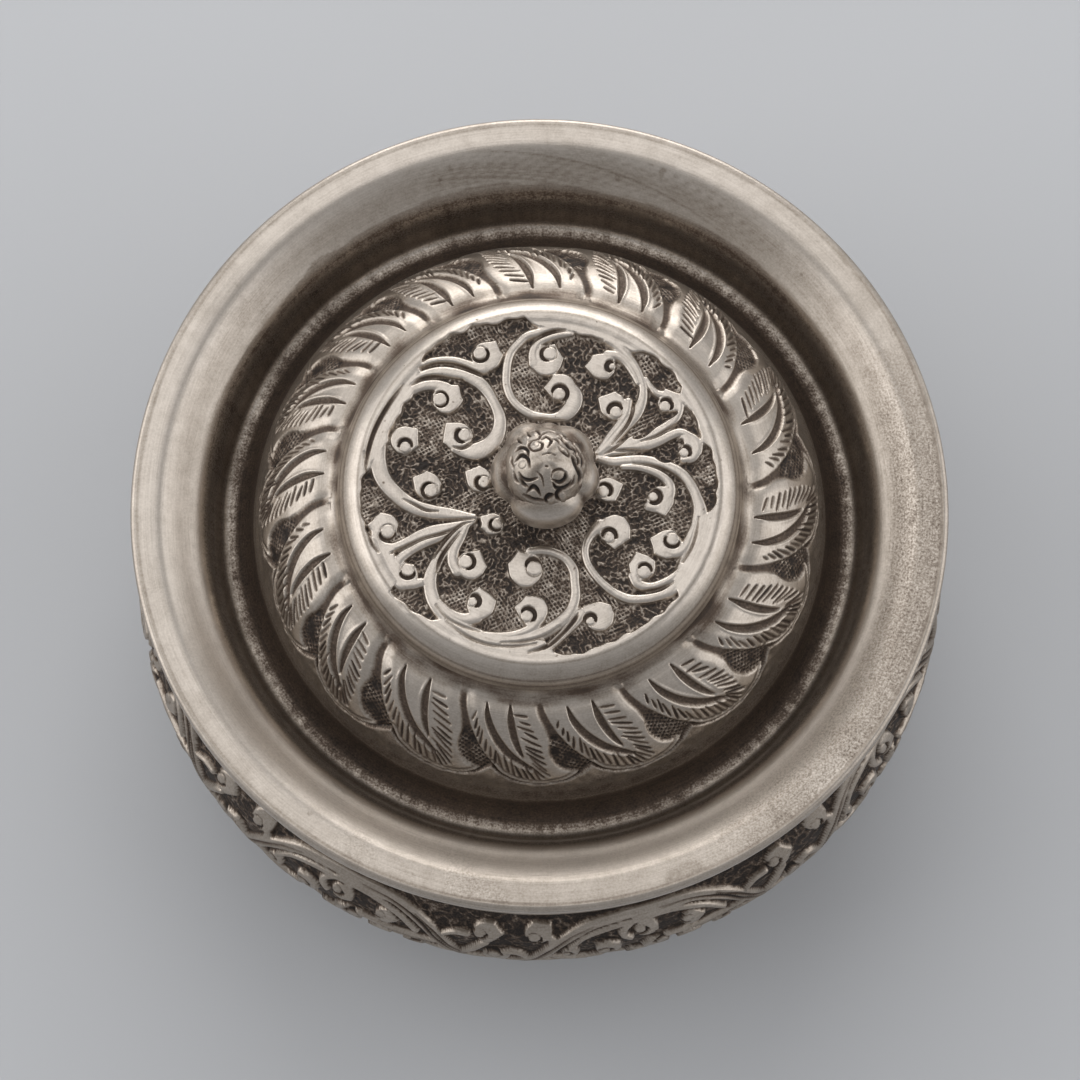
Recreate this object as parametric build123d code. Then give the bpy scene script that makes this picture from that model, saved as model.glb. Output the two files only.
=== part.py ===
from build123d import *
from build123d.topology import SkipClean
from math import cos, hypot, radians, sin
import os

# Round silver box with a lid that lifts off. Millimetres, +Z up.
# The origin is the centre of the foot's underside, where the box stands.

# Driving dimensions
rim_z = 60.0                    # top of the lid's rim band above the table
lid_edge_r = 60.0               # the lid's turned edge
lid_edge_round = 0.75
lid_sheet = 1.1                 # thickness of the lid's metal
seat_z = rim_z - lid_sheet      # the lid rests on the mouth wire here

body_sheet = 1.3                # bowl's metal
relief = 0.95                   # the scroll band's ground is sunk this far below the crests
belly_r = 61.0                  # bowl's widest place, over the crests of the relief
belly_z = 27.4
shoulder_arc_r = 12.0           # roundness of the bowl's shoulder
neck_r = 54.6                   # outside of the neck under the rim
bowl_floor_z = 6.6              # underside of the bowl's flat floor

lip_w = 1.95                    # width of the bowl's lip under the mouth wire
mouth_wire_r = 60.0             # outermost line of the box's rim, on the wire's upper bead
mouth_wire_inner_r = 57.4
mouth_wire_h = 2.2
mouth_waist_r = 59.45           # the line between the wire's two beads
mouth_waist_rise = 0.9          # above the wire's underside
upper_bead_drop = 0.65          # below the seat
lower_bead_r = 59.85
lower_bead_rise = 0.4

bezel_clearance = 0.35          # slack between the lid's collar and the neck
bezel_sheet = 0.9
bezel_foot_z = 48.4

foot_base_r = 37.6
foot_sheet = 1.2
foot_wire_r = 38.6
foot_wire_h = 1.6
foot_wire_round = 0.5

plateau_z = rim_z + 12.6        # the lid's middle, at the crests of the scrolls
knob_x = 0.8                    # the knob stands this far off the lid's axis, as in the photo
stud_r = 1.5
stud_slack = 0.05
neck_foot_r = 4.4
neck_foot_h = 0.7
neck_stem_r = 3.1
petal_places = [(44, 3.9), (121, 3.5), (181, 4.1), (274, 4.9), (350, 3.8)]   # degrees round the knob, half width
petal_reach = 8.0               # the petals' outermost points stand on this circle
petal_half_h = 5.1
petal_z = plateau_z + 8.0
petal_core_r = 3.95             # solid metal between the petals
petal_core_rise = 0.8           # its underside above the petals' lowest points
bud_half_w = 5.9
bud_half_h = 6.4
bud_z = plateau_z + 9.4
washer_r = 5.0
washer_h = 0.8
nut_flats = 5.5
nut_h = 2.4
stud_tail = 0.9                 # thread left below the nut
cut_past = 1.0                  # a drilled hole's cutter runs this far past the metal


def offset_points(points, distance):
    """Points moved square to the line through their neighbours, to its right."""
    moved = []
    for i, (r, z) in enumerate(points):
        r0, z0 = points[max(i - 1, 0)]
        r1, z1 = points[min(i + 1, len(points) - 1)]
        length = hypot(r1 - r0, z1 - z0)
        moved.append((r + (z1 - z0) / length * distance, z - (r1 - r0) / length * distance))
    return moved


def revolved(edges):
    """A solid of revolution about +Z from a closed outline of (radius, height) edges."""
    face = make_face(Plane.XZ * Wire(edges))
    return revolve(face, Axis.Z, 360)


def polyline(points):
    return [Line(a, b) for a, b in zip(points, points[1:])]


def ring_solid(points):
    """A ring from a closed outline with straight sides."""
    return revolved(polyline(points + points[:1]))


def at_knob(shape):
    return Pos(knob_x, 0, 0) * shape


def rod(radius, low, high):
    return Pos(0, 0, (low + high) / 2) * Cylinder(radius, high - low)


def stud_hole(low, high):
    return rod(stud_r + stud_slack, low - cut_past, high + cut_past)


def egg(half_w, half_h, z):
    """A solid ellipse of revolution that stands upright on +Z."""
    outline = [
        EllipticalCenterArc((0, z), half_w, half_h, start_angle=-90, arc_size=180),
        Line((0, z + half_h), (0, z - half_h)),
    ]
    return revolved(outline)


# The lid, outward from its middle: plateau, raised ring, groove, domed leaf border,
# shoulder, gutter, flaring wall, rim band. Heights count from the rim.
lid_ring_start_r = 24.8
lid_curve = [
    (lid_ring_start_r, 12.6),
    (26.0, 12.75),
    (27.6, 12.0),
    (28.9, 10.2),
    (29.7, 8.2),
    (30.5, 7.35),
    (32.5, 6.75),
    (35.2, 5.15),
    (38.0, 2.4),
    (40.1, -0.8),
    (41.3, -3.6),
    (41.9, -6.2),
    (42.6, -8.8),
    (43.8, -10.7),
    (45.5, -11.4),
    (47.1, -10.3),
    (48.1, -7.6),
    (49.0, -5.0),
    (49.9, -3.75),
    (51.4, -2.8),
    (53.1, -1.75),
    (54.6, -0.85),
    (55.8, -0.32),
    (57.2, -0.12),
]


def lid_shell():
    top = [(r, rim_z + z) for r, z in lid_curve]
    under = offset_points(top, lid_sheet)
    under[0] = (top[0][0], top[0][1] - lid_sheet)
    under[-1] = (top[-1][0], seat_z)
    edge = [
        Line(top[-1], (lid_edge_r - lid_edge_round, rim_z)),
        RadiusArc((lid_edge_r - lid_edge_round, rim_z), (lid_edge_r, rim_z - lid_edge_round), lid_edge_round),
        Line((lid_edge_r, rim_z - lid_edge_round), (lid_edge_r, seat_z)),
        Line((lid_edge_r, seat_z), under[-1]),
    ]
    middle = polyline([under[0], (0, under[0][1]), (0, top[0][1]), top[0]])
    shell = revolved([Spline(*top)] + edge + [Spline(*reversed(under))] + middle)
    return shell - at_knob(stud_hole(plateau_z - lid_sheet, plateau_z))


def lid_bezel(lid):
    outer = neck_r - body_sheet - bezel_clearance
    inner = outer - bezel_sheet
    collar = ring_solid([(inner, bezel_foot_z), (outer, bezel_foot_z), (outer, seat_z), (inner, seat_z)])
    collar -= lid
    return max(collar.solids(), key=lambda piece: piece.volume)


# The bowl's outline, up from its flat floor to the lip under the mouth wire
bowl_lower = [(30.0, bowl_floor_z), (38.5, 7.4), (46.8, 9.7), (53.8, 13.7), (58.6, 18.9), (60.7, 23.4)]
band_top = (55.5, 39.4)         # the outline's point where the scroll band starts
bowl_neck = [(54.75, 42.1), (neck_r, 45.1), (neck_r, 48.4), (54.95, 51.3), (56.1, 53.9), (58.4, 55.8)]
bowl_lip = (58.9, seat_z - mouth_wire_h)


def bowl_curve():
    centre_r = belly_r - shoulder_arc_r
    shoulder = []
    for degrees in (0, 15, 30, 45):
        turn = radians(degrees)
        shoulder.append((centre_r + shoulder_arc_r * cos(turn), belly_z + shoulder_arc_r * sin(turn)))
    return bowl_lower + shoulder + [band_top] + bowl_neck + [bowl_lip]


# The scroll band: a stem waves round the bowl and throws off bosses, over a sunk ground.
# Places count in degrees round the bowl and millimetres down the wall from the band's top.
ground_start = 2.3
ground_end = 20.85
ground_points = 9
wave_count = 8
first_wave = 16.0               # degrees round the bowl to a wave's crest
stem_r = 1.05
stem_wave = [(-18.5, 16.9), (-15.6, 12.9), (-13.4, 8.9), (-9.2, 5.5), (-4.2, 4.4), (1.5, 4.2), (7.6, 4.9)]
stem_wave += [(12.4, 7.8), (15.3, 12.0), (18.2, 16.6)]
stem_end = (21.4, 18.35)        # both ways from the crest, inside the knot that joins two waves
knot = (22.5, 18.4, 2.2)
bosses = [(-0.7, 8.0, 2.1), (6.0, 9.1, 1.9), (-6.3, 12.0, 2.1), (1.2, 14.2, 2.3), (-2.6, 17.9, 1.9)]
bosses += [(5.9, 17.5, 1.9), (21.0, 6.6, 2.2), (-16.3, 6.2, 2.2), (22.8, 13.6, 2.1), knot]    # with their radius
boss_drop = 0.15                # a boss's flat top lies this far under the crests
boss_h = 1.5


def wall_at(down, sink):
    """A point of the bowl's outline in the band, sunk below the crests, and the way out of the wall there."""
    wall = Spline(*bowl_curve())
    place = wall.trim(0, wall.param_at_point(band_top)).length - down
    point = wall.position_at(place, PositionMode.LENGTH)
    along = wall.tangent_at(place, PositionMode.LENGTH)
    out = Vector(along.Y, -along.X)
    return point - out * sink, out


def on_band(degrees, down, sink):
    """A plane on the band that faces out of the wall."""
    point, out = wall_at(down, sink)
    turn = radians(degrees)
    origin = (point.X * cos(turn), point.X * sin(turn), point.Y)
    return Plane(origin, z_dir=(out.X * cos(turn), out.X * sin(turn), out.Y))


def stem():
    back, down = stem_end
    places = [(-back, down)] + stem_wave + [stem_end]
    path = Spline(*[on_band(degrees, down, stem_r).origin for degrees, down in places])
    return sweep(Plane(path @ 0, z_dir=path % 0) * Circle(stem_r), path)


def boss(degrees, down, radius):
    return on_band(degrees, down, boss_drop) * Pos(0, 0, -boss_h / 2) * Cylinder(radius, boss_h)


def bowl_section():
    """Half of the bowl's section, with the band's ground sunk and the metal's inside following it."""
    outside = bowl_curve()
    wall = Spline(*outside)
    low_edge = wall_at(ground_end, 0)[0]
    high_edge = wall_at(ground_start, 0)[0]
    step = (ground_end - ground_start) / (ground_points - 1)
    ground = [wall_at(ground_end - step * i, relief)[0] for i in range(ground_points)]
    inside = offset_points(outside, -body_sheet)
    for i, deeper in enumerate(offset_points(outside, -body_sheet - relief)):
        if low_edge.Y < outside[i][1] < high_edge.Y:
            inside[i] = deeper
    inside[0] = (outside[0][0], bowl_floor_z + body_sheet)
    inside[-1] = (bowl_lip[0] - lip_w, bowl_lip[1])
    outline = [
        wall.trim(0, wall.param_at_point(low_edge)),
        Line(low_edge, ground[0]),
        Spline(*ground),
        Line(ground[-1], high_edge),
        wall.trim(wall.param_at_point(high_edge), 1),
        Line(bowl_lip, inside[-1]),
        Spline(*reversed(inside)),
    ]
    floor = polyline([inside[0], (0, bowl_floor_z + body_sheet), (0, bowl_floor_z), outside[0]])
    return make_face(Plane.XZ * Wire(outline + floor))


def body_shell():
    """The bowl, a slice for each wave: the slices' faces stay apart, so each is small and exact."""
    turn = 360 / wave_count
    slice_of_bowl = revolve(bowl_section(), Axis.Z, turn)
    figures_of_wave = [stem()] + [boss(*place) for place in bosses]
    slices = []
    figures = []
    for i in range(wave_count):
        slices.append(Rot(0, 0, first_wave + turn * i) * slice_of_bowl)
        figures += [Rot(0, 0, first_wave + turn * i) * figure for figure in figures_of_wave]
    with SkipClean():
        return slices[0] + slices[1:] + figures


def body_mouth_wire():
    """Moulded wire: a seat for the lid, a round bead and a smaller bead below it."""
    top = seat_z
    bottom = seat_z - mouth_wire_h
    waist = (mouth_waist_r, bottom + mouth_waist_rise)
    outline = [
        Line((mouth_wire_inner_r, top), (mouth_waist_r, top)),
        ThreePointArc((mouth_waist_r, top), (mouth_wire_r, top - upper_bead_drop), waist),
        ThreePointArc(waist, (lower_bead_r, bottom + lower_bead_rise), (mouth_waist_r, bottom)),
        Line((mouth_waist_r, bottom), (mouth_wire_inner_r, bottom)),
        Line((mouth_wire_inner_r, bottom), (mouth_wire_inner_r, top)),
    ]
    return revolved(outline)


def foot_ring(bowl):
    outside = [(foot_base_r, foot_wire_h), (36.2, 3.2), (35.3, 5.2), (35.0, 8.6)]
    inside = [(r - foot_sheet, z) for r, z in outside]
    ring = revolved(
        [
            Spline(*outside),
            Line(outside[-1], inside[-1]),
            Spline(*reversed(inside)),
            Line(inside[0], outside[0]),
        ]
    )
    ring -= bowl
    return min(ring.solids(), key=lambda piece: piece.bounding_box().min.Z)


def foot_edge_wire():
    inner = foot_base_r - foot_sheet
    shoulder_r = foot_wire_r - foot_wire_round
    outline = [
        Line((inner, 0), (shoulder_r, 0)),
        ThreePointArc((shoulder_r, 0), (foot_wire_r, foot_wire_h / 2), (shoulder_r, foot_wire_h)),
        Line((shoulder_r, foot_wire_h), (inner, foot_wire_h)),
        Line((inner, foot_wire_h), (inner, 0)),
    ]
    return revolved(outline)


def knob_neck(bud, petals):
    flare_h = neck_foot_r - neck_stem_r
    foot_top = (neck_foot_r, plateau_z + neck_foot_h)
    stem_foot = (neck_stem_r, plateau_z + neck_foot_h + flare_h)
    outline = [
        Line((0, plateau_z), (neck_foot_r, plateau_z)),
        Line((neck_foot_r, plateau_z), foot_top),
        RadiusArc(foot_top, stem_foot, flare_h),
        Line(stem_foot, (neck_stem_r, petal_z)),
        Line((neck_stem_r, petal_z), (0, petal_z)),
        Line((0, petal_z), (0, plateau_z)),
    ]
    neck = at_knob(revolved(outline) - stud_hole(plateau_z, petal_z)) - bud - petals
    return min(neck.solids(), key=lambda piece: piece.bounding_box().min.Z)


def knob_petals(bud):
    petals = rod(petal_core_r, petal_z - petal_half_h + petal_core_rise, petal_z)
    for degrees, half_w in petal_places:
        turn = radians(degrees)
        out = petal_reach - half_w
        petals += Pos(out * cos(turn), out * sin(turn), 0) * egg(half_w, petal_half_h, petal_z)
    petals = at_knob(petals) - bud - at_knob(stud_hole(plateau_z, petal_z))
    return max(petals.solids(), key=lambda piece: piece.volume)


def knob_bud():
    bud = egg(bud_half_w, bud_half_h, bud_z)
    return at_knob(bud - rod(stud_r, bud_z - bud_half_h - cut_past, bud_z))


def knob_stud():
    foot = plateau_z - lid_sheet - washer_h - nut_h - stud_tail
    return at_knob(rod(stud_r, foot, bud_z))


def knob_washer():
    top = plateau_z - lid_sheet
    return at_knob(rod(washer_r, top - washer_h, top) - stud_hole(top - washer_h, top))


def knob_nut():
    top = plateau_z - lid_sheet - washer_h
    hexagon = extrude(RegularPolygon(nut_flats / 2, 6, major_radius=False), nut_h)
    return at_knob(Pos(0, 0, top - nut_h) * hexagon - stud_hole(top - nut_h, top))


def build():
    lid = lid_shell()
    bowl = body_shell()
    bud = knob_bud()
    petals = knob_petals(bud)
    return {
        "body_shell": bowl,
        "body_mouth_wire": body_mouth_wire(),
        "foot_ring": foot_ring(bowl),
        "foot_edge_wire": foot_edge_wire(),
        "lid_shell": lid,
        "lid_bezel": lid_bezel(lid),
        "knob_neck": knob_neck(bud, petals),
        "knob_petals": petals,
        "knob_bud": bud,
        "knob_stud": knob_stud(),
        "knob_washer": knob_washer(),
        "knob_nut": knob_nut(),
    }


os.makedirs("parts", exist_ok=True)
for name, shape in build().items():
    export_step(shape, f"parts/{name}.step")
    box = shape.bounding_box()
    print(name, len(shape.solids()), round(shape.volume, 1), "z", round(box.min.Z, 2), "to", round(box.max.Z, 2))
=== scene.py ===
import bpy
import numpy as np
from math import cos, pi, radians, sin
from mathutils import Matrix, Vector


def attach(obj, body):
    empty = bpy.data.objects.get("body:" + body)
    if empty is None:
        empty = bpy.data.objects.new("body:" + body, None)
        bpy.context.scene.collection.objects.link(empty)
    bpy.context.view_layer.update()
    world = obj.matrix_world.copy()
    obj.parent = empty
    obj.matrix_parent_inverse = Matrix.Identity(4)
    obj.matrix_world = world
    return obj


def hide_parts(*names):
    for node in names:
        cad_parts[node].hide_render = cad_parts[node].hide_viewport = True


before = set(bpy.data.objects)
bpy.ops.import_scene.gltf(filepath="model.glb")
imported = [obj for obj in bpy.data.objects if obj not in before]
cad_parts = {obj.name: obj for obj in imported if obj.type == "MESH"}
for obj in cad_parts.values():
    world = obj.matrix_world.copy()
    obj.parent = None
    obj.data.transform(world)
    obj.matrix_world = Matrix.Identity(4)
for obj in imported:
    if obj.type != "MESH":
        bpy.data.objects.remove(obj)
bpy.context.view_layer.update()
print("frame in place:", len(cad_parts), "nodes")

mm = 0.001                      # everything below is thought out in millimetres
rimHeight = 60.0                # top of the lid's rim above the table


def putIn(name, data):
    item = bpy.data.objects.new(name, data)
    bpy.context.scene.collection.objects.link(item)
    return item


# Smooth steps, smooth lines and soft averages

def ease(x, low, high):
    t = np.clip((x - low) / (high - low), 0, 1)
    return t * t * (3 - 2 * t)


def curveThrough(points, step=0.08):
    # a smooth line through given points, with its width carried along
    p = np.array(points, float)
    p = np.vstack([2 * p[0] - p[1], p, 2 * p[-1] - p[-2]])
    out = []
    for i in range(1, len(p) - 2):
        count = max(2, int(np.hypot(*(p[i + 1] - p[i])[:2]) / step))
        t = np.linspace(0, 1, count, endpoint=False)[:, None]
        a, b, c, d = p[i - 1], p[i], p[i + 1], p[i + 2]
        square, cube = (2 * a - 5 * b + 4 * c - d) * t**2, (3 * b - a - 3 * c + d) * t**3
        out.append(0.5 * (2 * b + (c - a) * t + square + cube))
    out.append(p[-2:-1])
    return np.vstack(out)


def nearLine(x, y, line, reach):
    # which points lie near a line, how far off they are, and beside which of its points
    low = line[:, :2].min(0) - reach
    high = line[:, :2].max(0) + reach
    pick = np.nonzero((x > low[0]) & (x < high[0]) & (y > low[1]) & (y < high[1]))[0]
    best = np.full(len(pick), 1e9)
    index = np.zeros(len(pick), int)
    px, py = x[pick], y[pick]
    for start in range(0, len(pick), 4000):
        part = slice(start, start + 4000)
        d2 = (px[part, None] - line[None, :, 0])**2 + (py[part, None] - line[None, :, 1])**2
        k = d2.argmin(1)
        index[part] = k
        best[part] = np.sqrt(d2[np.arange(len(k)), k])
    return pick, best, index


def insideOf(x, y, outline):
    inside = np.zeros(len(x), bool)
    for (x0, y0), (x1, y1) in zip(outline, np.roll(outline, -1, axis=0)):
        if y1 != y0:
            inside ^= ((y0 > y) != (y1 > y)) & (x < (x1 - x0) * (y - y0) / (y1 - y0) + x0)
    return inside


def soften(grid, cells, around=False):
    # three box averages; around joins the second axis end to end, for a band round the box
    out = grid.astype(float)
    reach = max(1, int(round(cells)))
    width = 2 * reach + 1
    for _ in range(3):
        for axis in (0, 1):
            pad = [(0, 0), (0, 0)]
            pad[axis] = (reach + 1, reach)
            total = np.cumsum(np.pad(out, pad, mode="wrap" if around and axis else "edge"), axis=axis)
            high = np.take(total, range(width, total.shape[axis]), axis=axis)
            low = np.take(total, range(0, total.shape[axis] - width), axis=axis)
            out = (high - low) / width
    return out


def roughField(shape, cells, seed, around=False):
    # smooth randomness of about one unit, with features a few cells across; each use has its own seed
    field = soften(np.random.default_rng(seed).normal(size=shape), cells, around)
    return field / max(field.std(), 1e-9)


# The scroll work of the lid's middle. Millimetres in plan, the photo's right is +x and up is +y.
# Stems and strands: x, y, half width
scrollStems = [
    [(-9.4, -4.45, .35), (-12.5, -4.1, .75), (-15.5, -3.7, .9), (-18.2, -2.9, .95), (-20.6, -1.2, 1.0),
     (-22.6, 1.2, 1.05), (-23.4, 4.0, 1.05), (-23.3, 7.0, 1.15), (-22.3, 10.2, 1.1), (-20.7, 13.0, .95),
     (-18.9, 15.3, .75), (-16.6, 16.8, .66), (-14.2, 17.3, .68), (-11.5, 16.95, .68), (-9.4, 16.1, .8),
     (-7.9, 14.8, .75), (-6.7, 12.8, .62), (-5.8, 10.6, .75), (-5.9, 8.4, .9), (-7.1, 6.4, 1.1),
     (-8.9, 5.4, 1.15), (-10.8, 5.35, .85), (-12.3, 5.7, .5)],
    [(-17.4, 18.0, .15), (-16, 18.75, .35), (-14.3, 19.1, .42), (-12.4, 19.0, .48), (-10.6, 18.4, .6),
     (-9.2, 17.8, .7), (-8, 17.9, .8)],
    [(-21.2, 11.2, .4), (-20.2, 13.1, .6), (-18.6, 14.4, .6), (-16.8, 15.2, .6), (-15, 15.3, .7),
     (-13.6, 14.8, .8)],
    [(8.6, 5.1, .5), (10.4, 6.9, .7), (12.1, 8.9, .75), (13.7, 10.6, .8), (14.75, 12.4, .65),
     (15.1, 14.4, .5), (14.7, 16.4, .45), (13.8, 18.3, .5), (12.5, 20.0, .55), (11.0, 21.4, .55),
     (9.3, 22.4, .5), (7.5, 23.2, .5), (5.5, 23.75, .55), (3.6, 24.0, .55), (1.6, 23.75, .5),
     (-.4, 23.2, .5), (-1.9, 22.7, .5), (-3.1, 21.6, .5), (-4.1, 20.3, .5), (-4.6, 18.8, .5),
     (-4.8, 17.0, .52), (-4.75, 15.2, .5), (-4.1, 13.4, .5), (-2.8, 11.9, .52), (-1.1, 10.9, .5),
     (.6, 10.6, .4), (2.2, 10.5, .5), (3.8, 11.0, .95), (4.9, 12.3, 1.05), (5.1, 13.8, 1.0), (4.2, 15.2, .8)],
    [(4.6, 23.0, .3), (2.8, 22.9, .45), (1, 22.4, .5), (-.4, 21.4, .5), (-.9, 20, .6), (-.6, 18.7, .9)],
    [(8.9, 5.9, .3), (10.3, 7.7, .45), (11.7, 9.5, .5), (12.6, 11.2, .5), (12.9, 12.8, .5)],
    [(14.3, 15.6, .3), (13.6, 17.2, .45), (12.6, 18.7, .5), (11.3, 19.7, .55), (9.9, 19.9, .6)],
    [(9.2, 4.9, .3), (11.5, 5.7, .7), (14, 6.75, .9), (16.2, 7.6, .75), (18.2, 8.9, .6), (19.8, 10.4, .55),
     (20.4, 12, .5), (19.9, 13.2, .5), (18.5, 13.75, .5), (17.2, 14.0, .45), (16.3, 14.9, .35),
     (15.5, 16.3, .2)],
    [(12.5, 5.9, .5), (15.2, 6.3, .75), (17.2, 6.9, .65), (18.9, 7.7, .55), (20.4, 8.2, .5), (21.6, 7.7, .5),
     (22.7, 6.9, .55), (22.9, 5.6, .6), (22.1, 4.4, .6), (20.9, 4.2, .5)],
    [(8.6, 4.3, .4), (10.5, 3.85, .55), (12.8, 4.0, .6), (15, 4.05, .6), (17, 3.65, .6), (19, 2.95, .62),
     (20.7, 1.9, .65), (21.9, .3, .65), (22.7, -1.5, .7), (23.2, -3.5, .9), (23.1, -5.6, 1.1),
     (22.7, -7.6, 1.0),
     (22.0, -9.6, .95), (21.1, -11.5, .9), (20.2, -13.4, .85), (18.9, -15.2, .75), (16.9, -16.2, .6),
     (14.9, -16.6, .55), (12.9, -16.6, .55), (11, -15.8, .5), (9.3, -14.5, .48), (7.8, -12.8, .45),
     (6.9, -11.2, .42), (6.6, -9.6, .42), (6.9, -8.1, .45), (7.7, -6.8, .55), (8.8, -5.7, .8)],
    [(12, 3.0, .3), (14.3, 3.0, .45), (16.4, 2.4, .5), (18.1, 1.4, .55), (18.9, 0, .65), (18.5, -1.6, .8),
     (17.2, -2.9, .75), (15.8, -2.9, .6)],
    [(22.6, -5.2, .4), (21.8, -7.2, .5), (21, -8.9, .6), (19.7, -9.8, .6), (18.2, -9.6, .6)],
    [(20.6, -11.9, .3), (19.3, -13.3, .42), (17.6, -14.3, .45), (15.9, -14.8, .5), (14.2, -14.4, .6),
     (13.6, -13.2, .7)],
    [(-9.6, -4.9, .4), (-11.3, -6.2, .6), (-12.7, -7.7, .6), (-13.9, -9.5, .62), (-15, -11.4, .68),
     (-15.7, -13.3, .8),
     (-15.7, -15.2, .85), (-15.1, -17.1, .9), (-13.9, -18.8, .9), (-12.2, -20.2, .85), (-10.2, -21.4, .8),
     (-7.9, -22.3, .8), (-5.4, -22.7, .75), (-2.9, -22.7, .7), (-.6, -22.1, .7), (1.4, -21.1, .7),
     (3.2, -19.8, .7),
     (4.6, -18.2, .65), (5.2, -16.2, .6), (5.1, -14.2, .55), (4.9, -12.4, .6), (3.9, -10.8, .55),
     (2.3, -9.8, .5),
     (.4, -9.4, .5), (-1.4, -9.6, .5)],
    [(-10.3, -5.4, .3), (-11.3, -7.4, .55), (-12.3, -9.3, .65), (-12.5, -11, .7), (-11.8, -12.4, .8)],
    [(-14.4, -17, .3), (-12.8, -18.8, .6), (-10.9, -19.6, .75), (-9, -19.3, .8)],
    [(-10, -21.3, .3), (-7.9, -21.9, .4), (-5.2, -22.1, .45), (-2.8, -21.7, .5), (-1, -20.8, .6),
     (0, -19.4, .75)],
    [(.6, -24.6, .3), (2.2, -23.1, .45), (3.8, -21.5, .5), (5.2, -20, .6), (6.1, -18.7, .7)],
    [(-10, -5.1, .3), (-12.5, -5.9, .55), (-15, -6.6, .85), (-17.2, -7.3, .75), (-19.3, -8.3, .6),
     (-21.2, -9, .55),
     (-22.9, -8.6, .55), (-23.6, -7.2, .5), (-23.4, -5.6, .5), (-22.3, -4.6, .55)],
    [(-12.3, -6.3, .4), (-14.7, -7.5, .6), (-16.9, -8.5, .55), (-18.9, -9.7, .55), (-20.4, -11.1, .65),
     (-20.9, -12.9, .7), (-20.1, -14.3, .7), (-18.4, -14.5, .6), (-17.1, -14.2, .55)],
]
# Lines cut along the stems: x, y, half width
scrollCuts = [
    [(-9.2, -4.75, .1), (-12, -4.9, .16), (-15, -4.95, .16)],
    [(-17.4, 17.7, .1), (-15.3, 18.35, .3), (-13.5, 18.45, .32), (-11.7, 18.1, .32), (-9.7, 17.3, .28),
     (-8, 16.6, .22), (-7.0, 16.5, .1)],
    [(-18.6, 15.2, .1), (-17, 16.2, .28), (-15, 16.45, .34), (-13, 16.1, .34), (-11.3, 15.9, .3)],
    [(-19.6, -1.9, .1), (-18, -2.7, .18), (-16.4, -3.5, .18), (-14.6, -3.7, .1)],
    [(-25.4, 5.2, .08), (-25, 2.5, .16), (-24, .3, .18), (-22.6, -1.6, .14), (-21, -3.1, .1)],
    [(3.8, 23.5, .1), (2.2, 23.35, .26), (.7, 22.85, .28), (-.5, 22.1, .2), (-1.4, 21.3, .1)],
    [(3.2, 22.2, .1), (5, 22.45, .26), (7, 22.4, .28), (9.2, 21.9, .12)],
    [(10.4, 6.3, .1), (12.6, 9.1, .2), (13.5, 11.2, .22), (13.7, 12.9, .12)],
    [(9.3, 4.85, .1), (10.6, 5.6, .2), (12.4, 7.2, .18), (13.6, 8.6, .1)],
    [(10.6, 5.35, .1), (12.8, 5.45, .2), (15.6, 5.4, .14)],
    [(14.6, 6.75, .08), (16.8, 7.5, .16), (18.8, 8.7, .18), (20.2, 9.6, .1)],
    [(13.5, 3.5, .08), (16, 3.2, .16), (18, 2.5, .26), (19.6, 1.4, .4), (20.6, .2, .45)],
    [(23, -4.6, .08), (22.6, -6.8, .16), (21.9, -9, .18), (20.6, -11.2, .14)],
    [(19.3, -14.2, .1), (17.4, -15.2, .28), (15.4, -15.6, .3), (13.7, -15.8, .12)],
    [(-11.6, -6.9, .1), (-13.1, -8.8, .2), (-14.3, -10.8, .28), (-14.8, -12.6, .14)],
    [(-14.9, -17.6, .08), (-13.2, -19.6, .12), (-10.9, -20.8, .14), (-8.6, -21.5, .1)],
    [(-13.4, -19.9, .06), (-10.6, -22.1, .14), (-7.4, -23.4, .14), (-3.8, -23.7, .14), (-.4, -23.3, .1)],
    [(-1.6, -24.6, .08), (1.2, -23.6, .26), (3.2, -21.9, .24), (4.9, -19.9, .3), (5.6, -18.8, .1)],
    [(-5.6, -23.2, .06), (-2.4, -23, .14), (.6, -22.2, .14), (3, -20.7, .1)],
    [(-11.6, -6, .08), (-14, -7.0, .2), (-16.7, -7.75, .16), (-19.4, -9, .2), (-21.4, -9.9, .12)],
    [(-9.9, -5.3, .08), (-11.3, -5.7, .16), (-13, -7.2, .24), (-14.6, -9.2, .3), (-15.3, -10.6, .12)],
    [(-24.8, -6.4, .1), (-24.2, -8.4, .2), (-23.2, -9.7, .14)],
    [(-19.8, 15.2, .1), (-21.9, 12.2, .26), (-23.6, 9.0, .3), (-24.7, 5.6, .28), (-25.1, 2.6, .14)],
    [(-12.4, 5.9, .1), (-11.2, 5.75, .2), (-10.1, 6.3, .16), (-9.6, 7.2, .08)],
]
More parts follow.
